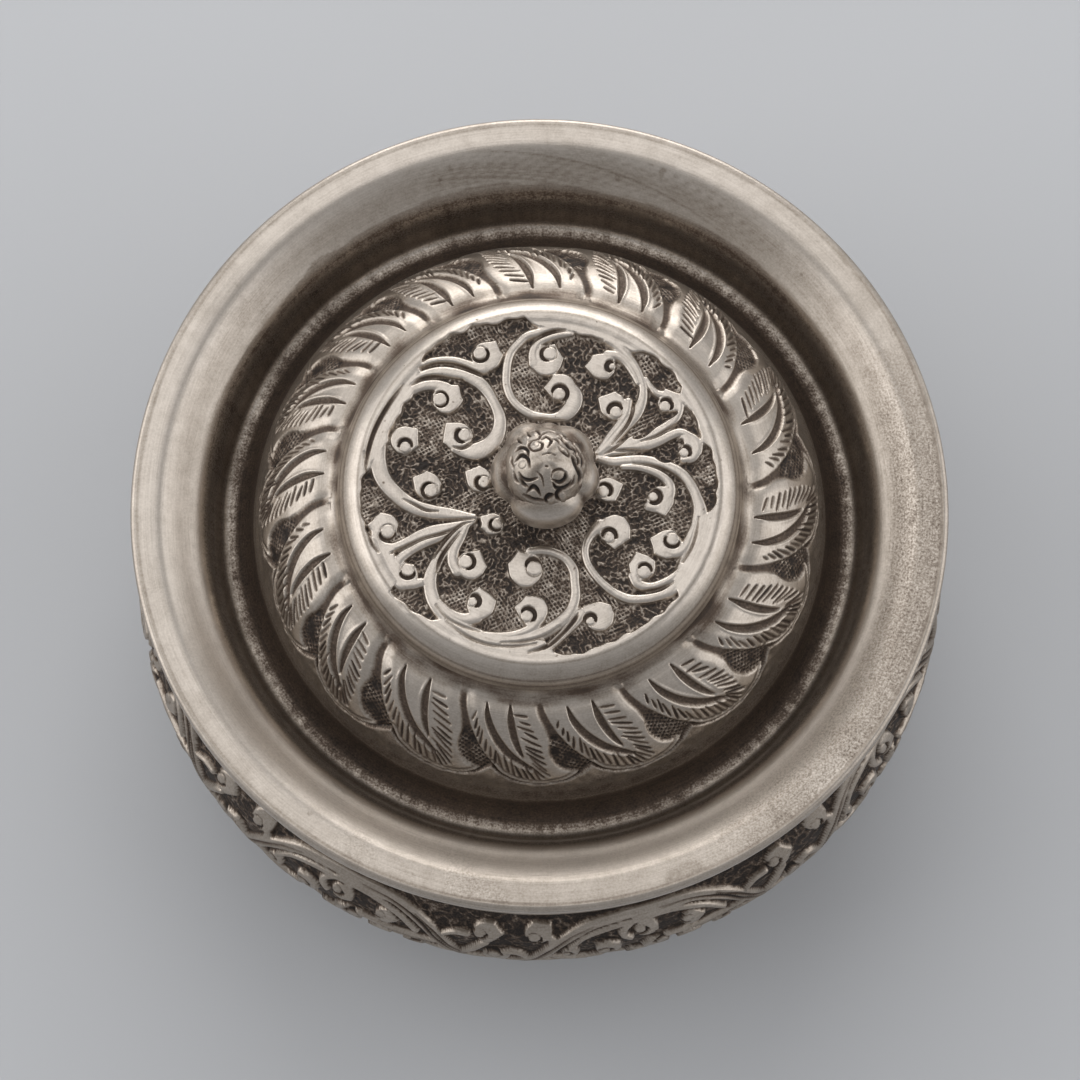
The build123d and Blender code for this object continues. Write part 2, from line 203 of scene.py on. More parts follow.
# Volutes: eye x, y and radius; which way its crescent cut faces, half its span, its width;
# body x, y and radius; the directions of its two drawn-out corners
scrollVolutes = [
    (-14.45, 13.1, .85, 0, 125, .16, -13.6, 13.2, 2.15, (50, -5)),
    (-10.85, 7.75, .8, 195, 75, .34, -11.8, 7.6, 2.1, (130, 205)),
    (-19.45, 5.95, .7, 90, 95, .3, -19.5, 6.4, 2.05, (40, -25)),
    (-15.7, -.55, .85, 200, 115, .26, -16.1, .1, 2.0, (150, 95)),
    (-8.0, .7, .75, 215, 95, .3, -8.5, 1.0, 1.85, (150, 90)),
    (-8.65, 20.05, .85, 290, 110, .26, -7.7, 19.6, 2.2, (60, 5)),
    (1.5, 20.0, .85, 180, 85, .28, 1.2, 19.3, 2.3, (65, 10)),
    (2.85, 13.9, .8, 50, 120, .34, 3.0, 14.3, 2.1, (180, 120)),
    (10.6, 18.05, .45, 170, 95, .4, 9.1, 18.1, 2.0, (180, 130)),
    (11.05, 11.2, .75, 110, 90, .36, 10.7, 12.1, 2.0, (150, 82)),
    (18.2, 12.05, .7, 50, 85, .3, 18.5, 12.2, 1.9, (110, 40)),
    (20.9, 5.1, .6, 40, 85, .3, 21.5, 5.7, 2.0, (105, 25)),
    (16.4, -1.5, .6, 0, 125, .42, 16.9, -1.7, 2.0, (-75, 200)),
    (19.2, -7.8, .8, 250, 95, .28, 18.7, -8.3, 2.15, (160, 215)),
    (15.1, -12.7, .8, 75, 75, .26, 14.9, -12.2, 1.9, (112, 25)),
    (10.0, -7.5, .7, 80, 100, .36, 10.6, -6.8, 2.3, (-92, -30)),
    (-10.65, -11.15, .85, 0, 85, .3, -10.0, -11.6, 2.1, (60, -5)),
    (-9.65, -17.1, .6, 25, 90, .4, -8.7, -17.4, 2.1, (95, 15)),
    (-.75, -12.1, .95, 85, 85, .36, -1.3, -12.2, 2.5, (110, 160)),
    (-1.8, -19.2, .75, 45, 100, .34, -1.5, -18.9, 2.2, (170, 115)),
    (7.3, -19.95, .55, 90, 100, .34, 7.9, -19.6, 2.2, (145, 45)),
    (-21.9, -6.7, .85, 270, 85, .3, -22.1, -6.3, 2.0, (175, 110)),
    (-19.0, -12.4, .8, 270, 80, .3, -19.2, -12.8, 1.9, (200, -30)),
    (9.2, -.7, .75, 40, 90, .3, 9.9, -.4, 1.8, (20, -60)),
    (-6.1, -5.5, .7, 220, 90, .24, -6.2, -5.5, 1.6, (150, 200)),
]
# Small pockets where the ground shows between leaves
scrollPockets = [
    [(16.0, 5.6), (18.5, 6.3), (20.3, 7.2), (20.9, 6.4), (20.1, 5.3), (19.9, 4.2), (18.2, 3.6), (16.8, 4.4)],
    [(15.6, 12.0), (16.6, 13.0), (17.2, 12.2), (17.4, 11.2), (19.9, 11.3), (19.4, 10.5), (17.4, 9.4),
     (15.2, 7.5),
     (13.6, 7.3), (14.2, 9.3)],
    [(-16.0, -5.0), (-18, -4.4), (-20, -5.2), (-20.6, -6.9), (-20.3, -7.6), (-18.2, -6.6), (-16.6, -5.9)],
]
# Where the sunk ground ends against the plain edge: degrees round the lid, radius
groundEdge = [(0, 25.5), (8, 25.4), (13, 25.0), (17, 24.4), (24, 24.5), (27, 24.8), (30, 24.0), (33, 23.9),
              (36, 25.3), (40, 25.6), (50, 25.5), (56, 24.4), (60, 23.8), (70, 23.4), (90, 23.6),
              (93, 24.6), (95, 25.4), (100, 25.2), (106, 25.1), (112, 26.0), (116, 25.5), (120, 26.1),
              (126, 26.0), (132, 25.4), (135, 24.4), (141, 22.8), (166, 23.0), (172, 24.4), (177, 25.3),
              (182, 25.8), (194, 25.8), (199, 24.6), (204, 22.8), (213, 23.2), (216, 26.4), (222, 26.0),
              (232, 25.0), (236, 23.4), (272, 22.6), (275, 24.4), (280, 25.2), (291, 24.9), (301, 25.0),
              (313, 25.4), (321, 25.6), (324, 23.8), (348, 23.2), (352, 24.8), (356, 25.5)]


# How the raised work is shaped, in millimetres
chasing = {
    "stemFlank": .36,           # a stem's side runs out to the ground over this far
    "stemCrown": .16,           # how much lower it is at its sides, as a share of its height
    "bodyCrown": .12,           # and a volute's body at its edge
    "drawn": (.62, .3),         # how far a body is drawn out to its first and second corner
    "eye": 1.2,                 # sizes of the eye and of its crescent, against those listed
    "crescent": .8,
    "eyeDome": .1,
}


def raisedWork(x, y, stems, cuts, volutes, pockets=()):
    # heights from the ground 0 to the crests 1, and how deep the chasing cuts are
    height = np.zeros(len(x))
    cut = np.zeros(len(x))
    for points in stems:
        line = curveThrough(points)
        pick, away, k = nearLine(x, y, line, 2.0)
        width = line[k, 2]
        crown = 1 - chasing["stemCrown"] * np.clip(away / np.maximum(width, .1), 0, 1)**2
        height[pick] = np.maximum(height[pick], (1 - ease(away, width, width + chasing["stemFlank"])) * crown)
    for eyeX, eyeY, eye, face, span, wide, bodyX, bodyY, size, corners in volutes:
        # the eye lies at the body's edge, like the end of a rolled leaf
        aside = max(1, (size - eye * chasing["eye"] - .1) / max(np.hypot(bodyX - eyeX, bodyY - eyeY), .1))
        bodyX, bodyY = eyeX + (bodyX - eyeX) * aside, eyeY + (bodyY - eyeY) * aside
        near = np.nonzero((abs(x - bodyX) < size + 1.7) & (abs(y - bodyY) < size + 1.7))[0]
        dx, dy = x[near] - bodyX, y[near] - bodyY
        angle = np.degrees(np.arctan2(dy, dx))
        away = np.hypot(dx, dy)
        # a nearly round body drawn out to two corners, the first one furthest
        wobble = np.sin(np.radians(angle) * 2 + bodyX) + .7 * np.sin(np.radians(angle) * 3 + bodyY)
        edge = size * (1 + .035 * wobble) + .03 * np.sin(np.radians(angle) * 9 + bodyY)
        for corner, drawn in zip(corners, chasing["drawn"]):
            reach = np.degrees(np.arccos(size / (size + drawn)))
            off = abs((angle - corner + 180) % 360 - 180)
            edge = np.maximum(edge, size / np.cos(np.radians(np.clip(reach - off, 0, reach))))
        crown = 1 - chasing["bodyCrown"] * np.clip(away / edge, 0, 1)**3
        height[near] = np.maximum(height[near], (1 - ease(away, edge - 0.16, edge + 0.2)) * crown)
    for pocket in pockets:
        line = curveThrough(list(pocket) + [pocket[0]])
        pick, away, k = nearLine(x, y, line, 1.0)
        signed = np.where(insideOf(x[pick], y[pick], line[:, :2]), away, -away)
        height[pick] = np.minimum(height[pick], 1 - ease(signed, -0.15, 0.2))
    for points in cuts:
        line = curveThrough(points)
        pick, away, k = nearLine(x, y, line, 1.2)
        width = line[k, 2]
        groove = 1 - ease(away, width * 0.5, width + 0.14)
        cut[pick] = np.maximum(cut[pick], groove * np.clip(width / .28, .35, 1))
    # the eyes last, so that no cut runs over them
    for eyeX, eyeY, eye, face, span, wide, *body in volutes:
        near = np.nonzero((abs(x - eyeX) < 2.2) & (abs(y - eyeY) < 2.2))[0]
        dx, dy = x[near] - eyeX, y[near] - eyeY
        off = abs((np.degrees(np.arctan2(dy, dx)) - face + 180) % 360 - 180)
        away = np.hypot(dx, dy)
        eye = eye * chasing["eye"]
        taper = np.sqrt(np.clip(1 - (off / span)**2, 0, 1))
        half = wide * chasing["crescent"] * taper
        crescent = (1 - ease(abs(away - eye - half), half * 0.8, half + 0.1)) * ease(taper, 0, .25)
        ring = (1 - ease(abs(away - eye - 0.03), 0.02, 0.11)) * 0.4
        cut[near] = np.maximum(cut[near], np.maximum(crescent, ring))
        dome = np.maximum(height[near], 1 - chasing["eyeDome"] * (away / eye)**2)
        height[near] = np.where(away < eye, dome, height[near])
    return height, cut


# One leaf of the border: shares of its pitch round it, and millimetres outward from where it starts
leafLead = [(-.02, 1.6), (.0, 2.4), (.04, 4.0), (.116, 6.0), (.2, 8.0), (.30, 10.0), (.39, 11.6), (.47, 13.0)]
leafFoot = [(.47, 13.0), (.55, 14.2), (.665, 15.3), (.78, 16.0), (.9, 16.4), (1.02, 16.45), (1.137, 16.2),
            (1.255, 15.6), (1.36, 14.6), (1.47, 13.2)]
leafBack = [(1.47, 13.2), (1.35, 13.9), (1.21, 13.1), (1.15, 11.9), (1.115, 10.6), (1.11, 9.3), (1.12, 7.9),
            (1.085, 6.0), (1.015, 4.0), (.98, 2.4), (.965, 1.4)]
leafGrooves = [
    [(.30, 3.0, .14), (.345, 4.9, .5), (.44, 7.2, .66), (.55, 9.1, .72), (.67, 10.8, .7), (.79, 12.0, .55),
     (.885, 13.1, .34)],
    [(.6, 2.8, .16), (.63, 5.0, .6), (.68, 7.3, .6), (.74, 9.3, .44), (.8, 10.9, .14)],
]
hatchOuter = [(.175, 6.0), (.33, 9.7), (.55, 13.1), (.795, 15.1),
              (.96, 15.6), (1.06, 14.5), (1.03, 11.6), (.99, 8.9), (.83, 4.3)]
hatchInner = [(.19, 5.0), (.325, 7.9), (.52, 10.8), (.745, 12.9),
              (.89, 13.5), (.93, 12.5), (.89, 10.2), (.84, 8.1), (.70, 4.0)]
hatchAt = (0, 3, 6.5, 10, 12.5, 15, 17.5, 20, 24)      # number of the cut beside each of those points

# The work on the leaves
leafWork = {
    # how deep each part lies, in millimetres: the leaf's edge, its two kinds of cut, what it stands on
    "body": .3, "groove": .4, "hatch": .3, "foot": .26, "margin": .22, "gap": .4, "pocket": .4,
    "burr": .07,                # and how high these stand
    "net": .2,
    "netPitch": .62,
    # how dark each is
    "grooveDark": .52, "hatchDark": .68, "footDark": .55, "marginDark": .16, "gapDark": .56, "pocketDark": .2,
}


def leafBorder(turn, out, starts, radius, seed):
    # turn: degrees round the border; out: mm from its start. Gives heights (crest 0), darkness and graininess
    count = len(starts)
    work = leafWork
    leaf, swell, groove, hatch, foot, burr = [np.zeros(turn.shape) for _ in range(6)]
    footTurn, footOut = [], []
    for i, start in enumerate(starts):
        pitch = (starts[(i + 1) % count] - start) % 360
        after = (starts[(i + 2) % count] - starts[(i + 1) % count]) % 360
        rel = (turn - start + 60) % 360 - 60
        near = (rel > -0.15 * pitch) & (rel < pitch + 0.6 * after) & (out < 18.5)
        share = rel[near]
        share = np.where(share > pitch, 1 + (share - pitch) / after, share / pitch)
        flat = radians(pitch) * radius
        x, y = share * flat, out[near]
        lines = []
        for points in (leafLead, leafFoot, leafBack):
            lines.append(curveThrough([(a * flat, b) for a, b in points], .1))
        for a, b in lines[1]:
            a = a / flat
            footTurn.append(start + (a * pitch if a < 1 else pitch + (a - 1) * after))
            footOut.append(b)
        gaps = []
        for line in lines:
            pick, away, k = nearLine(x, y, line, 2.5)
            gap = np.full(len(x), 9.0)
            gap[pick] = away
            gaps.append(gap)
        inside = insideOf(x, y, np.vstack(lines))
        lead, low, back = gaps
        seam = 1.0 - .3 * ease(y, 7, 9)
        body = np.where(inside, ease(lead, 0, .4) * ease(back / seam, .15, 1) * ease(low, .05, .4), 0)
        leaf[near] = np.maximum(leaf[near], body)
        swell[near] = np.maximum(swell[near], np.where(inside, ease(np.minimum(lead, back), 0, 2.2), 0))
        wide, marks, raised = groove[near], hatch[near], burr[near]
        for points in leafGrooves:
            line = curveThrough([(a * flat, b, w) for a, b, w in points], .1)
            pick, away, k = nearLine(x, y, line, 1.5)
            width = line[k, 2]
            lens = (1 - ease(away, width * .45, width + .08)) * ease(width, 0, .2)
            wide[pick] = np.maximum(wide[pick], np.where(inside[pick], lens, 0))
            lip = ease(away, width * .7, width + .1) * (1 - ease(away, width + .1, width + .6))
            lip = lip * ease(width, .1, .4)
            raised[pick] = np.maximum(raised[pick], np.where(inside[pick], lip, 0))
        groove[near] = wide
        burr[near] = raised * (1 - wide)
        cuts = np.arange(hatchAt[-1] + 1)
        ends = []
        for path in (hatchOuter, hatchInner):
            places = [p[0] * flat for p in path], [p[1] for p in path]
            ends.append(np.array([np.interp(cuts, hatchAt, place) for place in places]).T)
        shake = np.random.default_rng(seed + i)
        for p, q in zip(*ends):
            p = p + shake.normal(0, .07, 2)
            q = q + shake.normal(0, .12, 2) + (q - p) * shake.uniform(.05, .5)
            strong = shake.uniform(.6, 1)
            span = q - p
            middle = (p + q) / 2
            box = (abs(x - middle[0]) < abs(span[0]) / 2 + .5) & (abs(y - middle[1]) < abs(span[1]) / 2 + .5)
            if box.any():
                t = np.clip(((x[box] - p[0]) * span[0] + (y[box] - p[1]) * span[1]) / (span @ span), 0, 1)
                away = np.hypot(x[box] - p[0] - t * span[0], y[box] - p[1] - t * span[1])
                width = .24 * np.sin(pi * np.clip(t * .9 + .08, 0, 1))**.6 * (1 - .45 * t)
                marks[box] = np.maximum(marks[box], strong * (1 - ease(away, width * .5, width + .12)))
        hatch[near] = marks
        lines = (1 - ease(low, .12, .4)) + .6 * (1 - ease(abs(low - .85), .06, .26)) * inside
        foot[near] = np.maximum(foot[near], np.clip(lines, 0, 1))
    order = np.argsort(np.array(footTurn) % 360)
    edge = np.interp(turn % 360, (np.array(footTurn) % 360)[order], np.array(footOut)[order], period=360)
    margin = ease(out, edge - .1, edge + .25)
    crinkle = roughField(turn.shape, 2, seed, True)
    grow = ease(out, 1.4, 3.0)
    gap = (1 - leaf) * (1 - margin) * grow
    pocket = ease(out, 6.6, 8.2)
    hollow = gap * (work["gap"] + work["pocket"] * pocket)
    # the pockets between the leaves are punched crosswise, as the ground of the middle is
    along = np.radians(turn) * radius
    bend = 1.2 * roughField(turn.shape, 14, seed + 1, True)
    net = np.zeros(turn.shape)
    for across, up in ((.8, .6), (-.5, .87)):
        wave = np.sin(2 * pi * (across * along + up * out) / work["netPitch"] + bend)
        net = np.maximum(net, ease(wave, 0, .9))
    net = net * gap * pocket * np.clip(.7 + .35 * roughField(turn.shape, 2, seed + 2, True), 0, 1)
    body = work["body"] - work["body"] * swell - work["burr"] * burr
    body = body + work["groove"] * groove + work["hatch"] * hatch
    height = work["net"] * net - hollow - margin * (work["margin"] - .05 * crinkle)
    height = height - leaf * (1 - margin) * body - work["foot"] * foot * grow
    cuts = np.maximum(work["grooveDark"] * groove, work["hatchDark"] * hatch)
    dark = np.maximum(gap * (work["gapDark"] + work["pocketDark"] * pocket) - .5 * net, leaf * cuts)
    onMargin = margin * (work["marginDark"] + .07 * crinkle)
    dark = np.maximum(dark, np.maximum(foot * work["footDark"] * grow, onMargin))
    grit = np.clip(.7 * hollow + .35 * leaf * groove + .3 * margin, 0, 1)
    return height, np.clip(dark, 0, 1), grit


# Profiles of revolution

def smoothPath(points, perSpan=40):
    # a natural cubic line through (radius, height) points
    p = np.array(points, float)
    t = np.concatenate([[0], np.cumsum(np.hypot(*np.diff(p, axis=0).T))])
    h = np.diff(t)
    count = len(p)
    matrix = np.eye(count)
    side = np.zeros((count, 2))
    for i in range(1, count - 1):
        matrix[i, i - 1:i + 2] = h[i - 1], 2 * (h[i - 1] + h[i]), h[i]
        side[i] = 6 * ((p[i + 1] - p[i]) / h[i] - (p[i] - p[i - 1]) / h[i - 1])
    bend = np.linalg.solve(matrix, side)
    out = []
    for i in range(count - 1):
        a = np.linspace(0, 1, perSpan, endpoint=False)[:, None]
        b = 1 - a
        out.append(b * p[i] + a * p[i + 1] + ((b**3 - b) * bend[i] + (a**3 - a) * bend[i + 1]) * h[i]**2 / 6)
    return np.vstack(out + [p[-1:]])


class Profile:
    def __init__(self, path):
        self.path = path
        self.arc = np.concatenate([[0], np.cumsum(np.hypot(*np.diff(path, axis=0).T))])
        slope = np.gradient(path, self.arc, axis=0)
        self.normal = np.column_stack([-slope[:, 1], slope[:, 0]]) / np.hypot(*slope.T)[:, None]

    def at(self, arc):
        place = [np.interp(arc, self.arc, self.path[:, i]) for i in (0, 1)]
        square = [np.interp(arc, self.arc, self.normal[:, i]) for i in (0, 1)]
        size = np.hypot(*square)
        return place[0], place[1], square[0] / size, square[1] / size


def addRing(rings, r, z, count, patinaAndShade, share, page, nextPage=None, grit=0):
    # one ring of points round +Z: radius, height, darkness and graininess may differ from point to point
    turn = 2 * pi * np.arange(count) / count
    circle = np.column_stack([np.cos(turn), np.sin(turn)])
    nextPage = page if nextPage is None else nextPage
    rings.append({
        "co": np.column_stack([r * circle[:, 0], r * circle[:, 1], np.broadcast_to(z, count)]),
        "patinaAndShade": np.broadcast_to(patinaAndShade, count),
        "grit": np.broadcast_to(grit, count),
        "uv": page[:2] + page[2] * share * circle,
        "uvNext": nextPage[:2] + nextPage[2] * share * circle,
    })


# where the outer and the hidden face of a turned piece lie on its map: centre and radius
pageMain = np.array((.405, .405, .40))
pageBack = np.array((.84, .84, .155))


def turnedMesh(name, rings):
    sizes = [len(ring["co"]) for ring in rings]
    firsts = np.concatenate([[0], np.cumsum(sizes)])
    quads, triangles, firstQuads, firstTriangles = [], [], [], []
    for i in range(len(rings) - 1):
        na, nb = sizes[i], sizes[i + 1]
        a, b = firsts[i], firsts[i + 1]
        doneQuads, doneTriangles = len(quads), len(triangles)
        if na == nb:
            j = np.arange(na)
            quads.append(np.column_stack([a + j, b + j, b + (j + 1) % nb, a + (j + 1) % na]))
        elif nb == 2 * na:
            j = np.arange(na)
            triangles.append(np.column_stack([a + j, b + 2 * j, b + 2 * j + 1]))
            quads.append(np.column_stack([a + j, b + 2 * j + 1, b + (2 * j + 2) % nb, a + (j + 1) % na]))
        elif na == 2 * nb:
            j = np.arange(nb)
            triangles.append(np.column_stack([a + 2 * j, b + j, a + 2 * j + 1]))
            quads.append(np.column_stack([a + 2 * j + 1, b + j, b + (j + 1) % nb, a + (2 * j + 2) % na]))
        elif na == 1:
            j = np.arange(nb)
            triangles.append(np.column_stack([np.full(nb, a), b + j, b + (j + 1) % nb]))
        else:
            j = np.arange(na)
            triangles.append(np.column_stack([a + j, np.full(na, b), a + (j + 1) % na]))
        firstQuads += [faces < b for faces in quads[doneQuads:]]
        firstTriangles += [faces < b for faces in triangles[doneTriangles:]]
    corners = np.concatenate([np.vstack(quads).ravel(), np.vstack(triangles).ravel()])
    first = np.concatenate([np.vstack(firstQuads).ravel(), np.vstack(firstTriangles).ravel()])[:, None]
    nq, nt = sum(map(len, quads)), sum(map(len, triangles))
    mesh = bpy.data.meshes.new(name)
    mesh.vertices.add(firsts[-1])
    points = np.vstack([ring["co"] for ring in rings]) * mm
    mesh.vertices.foreach_set("co", points.astype(np.float32).ravel())
    mesh.loops.add(len(corners))
    mesh.loops.foreach_set("vertex_index", corners.astype(np.int32))
    mesh.polygons.add(nq + nt)
    starts = np.concatenate([4 * np.arange(nq), 4 * nq + 3 * np.arange(nt)])
    mesh.polygons.foreach_set("loop_start", starts.astype(np.int32))
    mesh.update(calc_edges=True)
    mesh.polygons.foreach_set("use_smooth", np.ones(nq + nt, bool))
    for key in ("patinaAndShade", "grit"):
        values = np.clip(np.concatenate([ring[key] for ring in rings]), 0, 1)
        mesh.attributes.new(key, "FLOAT", "POINT").data.foreach_set("value", values.astype(np.float32))
    layer = mesh.uv_layers.new(name="OFBake")
    uv, uvNext = [np.vstack([ring[key] for ring in rings])[corners] for key in ("uv", "uvNext")]
    layer.data.foreach_set("uv", np.where(first, uvNext, uv).astype(np.float32).ravel())
    mesh.validate()
    return putIn(name, mesh)


# The lid
lid = {
    "plateau": 12.6,            # crest of the scroll work above the rim
    "discRadius": 25.6,
    "discStep": .09,            # fineness of the scroll work's height map
    "scrollDepth": .8,          # how far the ground is sunk
    "cutDepth": .5,
    "sheet": 1.1,
    "leafStarts": [3.5, 31.5, 55.2, 77.3, 101.5, 122, 142, 161.5, 182, 205, 225, 250, 270.5, 293, 316.5,
                   340.5],
    "leafFrom": 29.4,           # radius where the leaf border starts
    "leafRadius": 36.5,
    # how long the leaves are, by degrees round the border: longer at the left
    "leafReach": [(0, 1.07), (90, 1.11), (180, 1.13), (270, 1.02), (360, 1.07)],
    # painted shade on the rim by degrees round it, and painted highlight where the value is below zero: on
    # its flat outer part, and on the slope inside it
    "flatPaintedShade": [(0, .14), (45, .03), (90, 0), (135, 0), (180, .02), (225, .06), (270, .14), (315, .08),
                 (360, .14)],
    "slopePaintedLight": [(0, .12), (45, .13), (90, .12), (135, .1), (180, .04), (225, -.05), (270, -.1), (315, -.04),
                  (360, .12)],
    "ringLines": (26.35, 28.5, 29.05, 29.5),    # radii of thin brown lines on the ring's flanks
    "ringLineFilm": .26,
    # darkness in the gutter: its inner wall, its floor, the band on the floor, the foot of its outer wall
    "wallFilm": .68, "floorFilm": .07, "bandFilm": .42, "footFilm": .2,
    "lineFilm": .34,            # the dark line along that foot
    "tornFilm": .2,             # tarnish with a torn edge, at the back
    "frontPaintedHighlight": .2,             # painted highlight: the outer wall is painted paler by this in front
    "trough": (46.8, .38, .8),  # the gutter's floor is beaten flat out to here: radius, depth, half width
    "roundFine": 1536,          # points round the lid in the worked parts
    # radius and height above the rim, from the middle's edge outward
    "curve": [(24.8, 12.6), (26.0, 12.75), (27.6, 12.0), (28.9, 10.2), (29.7, 8.2), (30.5, 7.35),
              (32.5, 6.75), (35.2, 5.15), (38.0, 2.4), (40.1, -.8), (41.3, -3.6), (41.9, -6.2),
              (42.6, -8.8), (43.8, -10.7), (45.5, -11.4), (47.1, -10.3), (48.1, -7.6), (49.0, -5.0),
              (49.9, -3.75), (51.4, -2.8), (53.1, -1.75), (54.6, -.85), (55.8, -.32), (57.2, -.12)],
    "edge": (60.0, .75),        # the rim's outer radius and its round
}
knobPlace = .8                  # the knob stands this far off the lid's axis


def sampleDisc(grid, x, y, half, step):
    # reads a square height map at any place
    u, v = (x + half) / step, (y + half) / step
    i, j = np.clip(u.astype(int), 0, len(grid) - 2), np.clip(v.astype(int), 0, len(grid) - 2)
    a, b = u - i, v - j
    return (grid[j, i] * (1 - a) * (1 - b) + grid[j, i + 1] * a * (1 - b)
            + grid[j + 1, i] * (1 - a) * b + grid[j + 1, i + 1] * a * b)


def scrollDisc():
    step = lid["discStep"]
    half = lid["discRadius"] + 1.4
    axis = np.arange(-half, half + step, step)
    x, y = [grid.ravel() for grid in np.meshgrid(axis, axis)]
    shape = (len(axis), len(axis))
    height, cut = raisedWork(x, y, scrollStems, scrollCuts, scrollVolutes, scrollPockets)
    turn = np.degrees(np.arctan2(y, x)) % 360
    edge = np.interp(turn, *np.array(groundEdge, float).T, period=360)
    edge += 0.12 * np.sin(np.radians(turn) * 37) + 0.1 * np.sin(np.radians(turn) * 61 + 1)
    height = np.maximum(height, ease(np.hypot(x, y), edge - 0.15, edge + 0.35))
    height = np.maximum(height, 1 - ease(np.hypot(x - knobPlace, y), 4.5, 5.0))
    height, cut = np.clip(height, 0, 1.02).reshape(shape), cut.reshape(shape)
    x, y = x.reshape(shape), y.reshape(shape)
    ground = 1 - ease(height, 0, .3)
    # the ground is worked over with a liner, crosswise in patches and in short curls elsewhere
    bend = 1.3 * roughField(shape, 26, 5)
    patch = roughField(shape, 16, 6)
    light = (1 - ease(abs(roughField(shape, 2, 11)), .1, .55)) * .8
    crosswise = patch + .5 * roughField(shape, 12, 7)
    uneven = .8 + .3 * np.clip(roughField(shape, 3, 12), -1, 1)
    passes = (.83, .56, .52, bend, patch), (.42, -.91, .56, 1.2 * bend, crosswise)
    for across, up, pitch, turns, key in passes:
        ridge = ease(np.sin(2 * pi * (across * x + up * y) / pitch + turns), .1, .9)
        light = np.maximum(light, ridge * ease(key, -.1, .6) * uneven)
    relief = lid["scrollDepth"] * (height - 1) - lid["cutDepth"] * cut * height
    relief = relief + ground * (.18 * light + .03 * roughField(shape, 1, 8))
    relief += (1 - ground) * .012 * roughField(shape, 5, 9)
    # darker in the hollows of the relief: patina there, and painted shade
    hollow = np.clip(soften(relief, .5 / step / 2) - relief, 0, None)
    patinaAndShade = np.maximum(ground * (.78 - .62 * light), cut * height * .7)
    specks = ease(roughField(shape, 1, 10), 2.6, 3.2) * (1 - ground) * .5
    patinaAndShade = np.maximum(patinaAndShade, np.maximum(ease(hollow, .05, .35) * .5, specks))
    return relief, patinaAndShade, ground, half


def lidProfile():
    flat = np.array([(r, lid["plateau"]) for r in np.arange(0, lid["curve"][0][0], .2)])
    edgeR, edgeRound = lid["edge"]
    return Profile(np.vstack([flat, smoothPath(lid["curve"]), [(58.2, -.06), (edgeR - edgeRound, 0)]]))


lidTop = lidProfile()
leafArc = np.interp(lid["leafFrom"], lidTop.path[:, 0], lidTop.arc)
fine = lid["roundFine"]


def faceRing(rings, arc, lift, count, tint, grit):
    # one ring of the lid's face, lifted off its profile by the work
    r, z, nr, nz = lidTop.at(arc)
    share = arc / lidTop.arc[-1]
    addRing(rings, r + nr * lift, rimHeight + z + nz * lift, count, tint, share, pageMain, grit=grit)


def middleRings(rings, backs):
    # the scroll work and the smooth ring round it, finer from zone to zone as the turn gets longer
    relief, dark, worked, half = scrollDisc()
    print("scroll work of the lid shaped")
    step = lid["discStep"]
    soft = soften(relief, 1.2 / step)
    zones = [
        (np.arange(.5, 5, .5), fine // 4), (np.arange(5, 12, .15), fine // 2),
        (np.arange(12, lid["discRadius"], .15), fine), (np.arange(lid["discRadius"], leafArc, .17), fine),
    ]
    for arcs, count in zones:
        turn = 2 * pi * np.arange(count) / count
        for arc in arcs:
            r = lidTop.at(arc)[0]
            x, y = r * np.cos(turn), r * np.sin(turn)
            lift, tint, grit, back = 0, 0, 0, np.zeros(fine // 4)
            if r < half - .2:
                lift, tint, grit = [sampleDisc(grid, x, y, half, step) for grid in (relief, dark, worked)]
                back = sampleDisc(soft, x, y, half, step)[::count // (fine // 4)]
            # darker down the ring's outer flank, and painted shade at its foot where the leaves start; thin
            # brown lines on the flanks
            lines = sum(np.exp(-((r - at) / .12)**2) for at in lid["ringLines"])
            flanks = .14 * ease(r, 26.6, 28) + .1 * ease(r, 28.9, 29.6) + lid["ringLineFilm"] * lines
            faceRing(rings, arc, lift, count, np.maximum(tint, flanks), .5 * grit)
            backs.append((arc, back))


def leafRings(rings, backs):
    outs = np.concatenate([np.arange(0, 10, .16), np.arange(10, 21.6, .22)])
    turns = 360 * np.arange(fine) / fine
    turn, out = np.meshgrid(turns, outs)
    reach = np.interp(turns, *np.array(lid["leafReach"]).T)
    height, dark, grit = leafBorder(turn, out / reach, lid["leafStarts"], lid["leafRadius"], 100)
    streaks = np.repeat(roughField((len(outs), fine // 12), 1, 24, True), 12, axis=1)
    brushed = .6 * roughField(height.shape, 8, 24, True) + .5 * soften(streaks, 1, True)
    hand = roughField(height.shape, 30, 21, True) * .05 + roughField(height.shape, 6, 22, True) * .012
    height += (hand + grit * .05 * roughField(height.shape, 1, 23, True)) * ease(out, .5, 3) - .05
    # darker in the hollows of the leaves: patina there, and painted shade
    hollow = np.clip(soften(height, 3, True) - height, 0, None)
    dark = np.maximum(dark, ease(hollow, .04, .28) * .5)
    # painted shade under the ring where the leaves start, with streaky brown tarnish in it
    edge = 1 - ease(out, 1.2, 3.4 + 1.1 * np.clip(brushed, -1, 1))
    dark = np.maximum(dark, np.clip(.3 + .16 * brushed, 0, .6) * edge)
    dark = np.minimum(dark + .09, 1)
    print("leaf border of the lid shaped")
    softLeaf = soften(height, 8, True)[:, ::4]
    for k, s in enumerate(outs):
        fade = 1 - ease(s, 19.2, 21.4)
        low = ease(s, 17.6 * reach, 21.4)
        tint, worn = dark[k] * fade + .42 * low, grit[k] * fade + .3 * low
        faceRing(rings, leafArc + s, height[k] * fade, fine, tint, worn)
        backs.append((leafArc + s, softLeaf[k] * fade))
    return leafArc + outs[-1] + .3


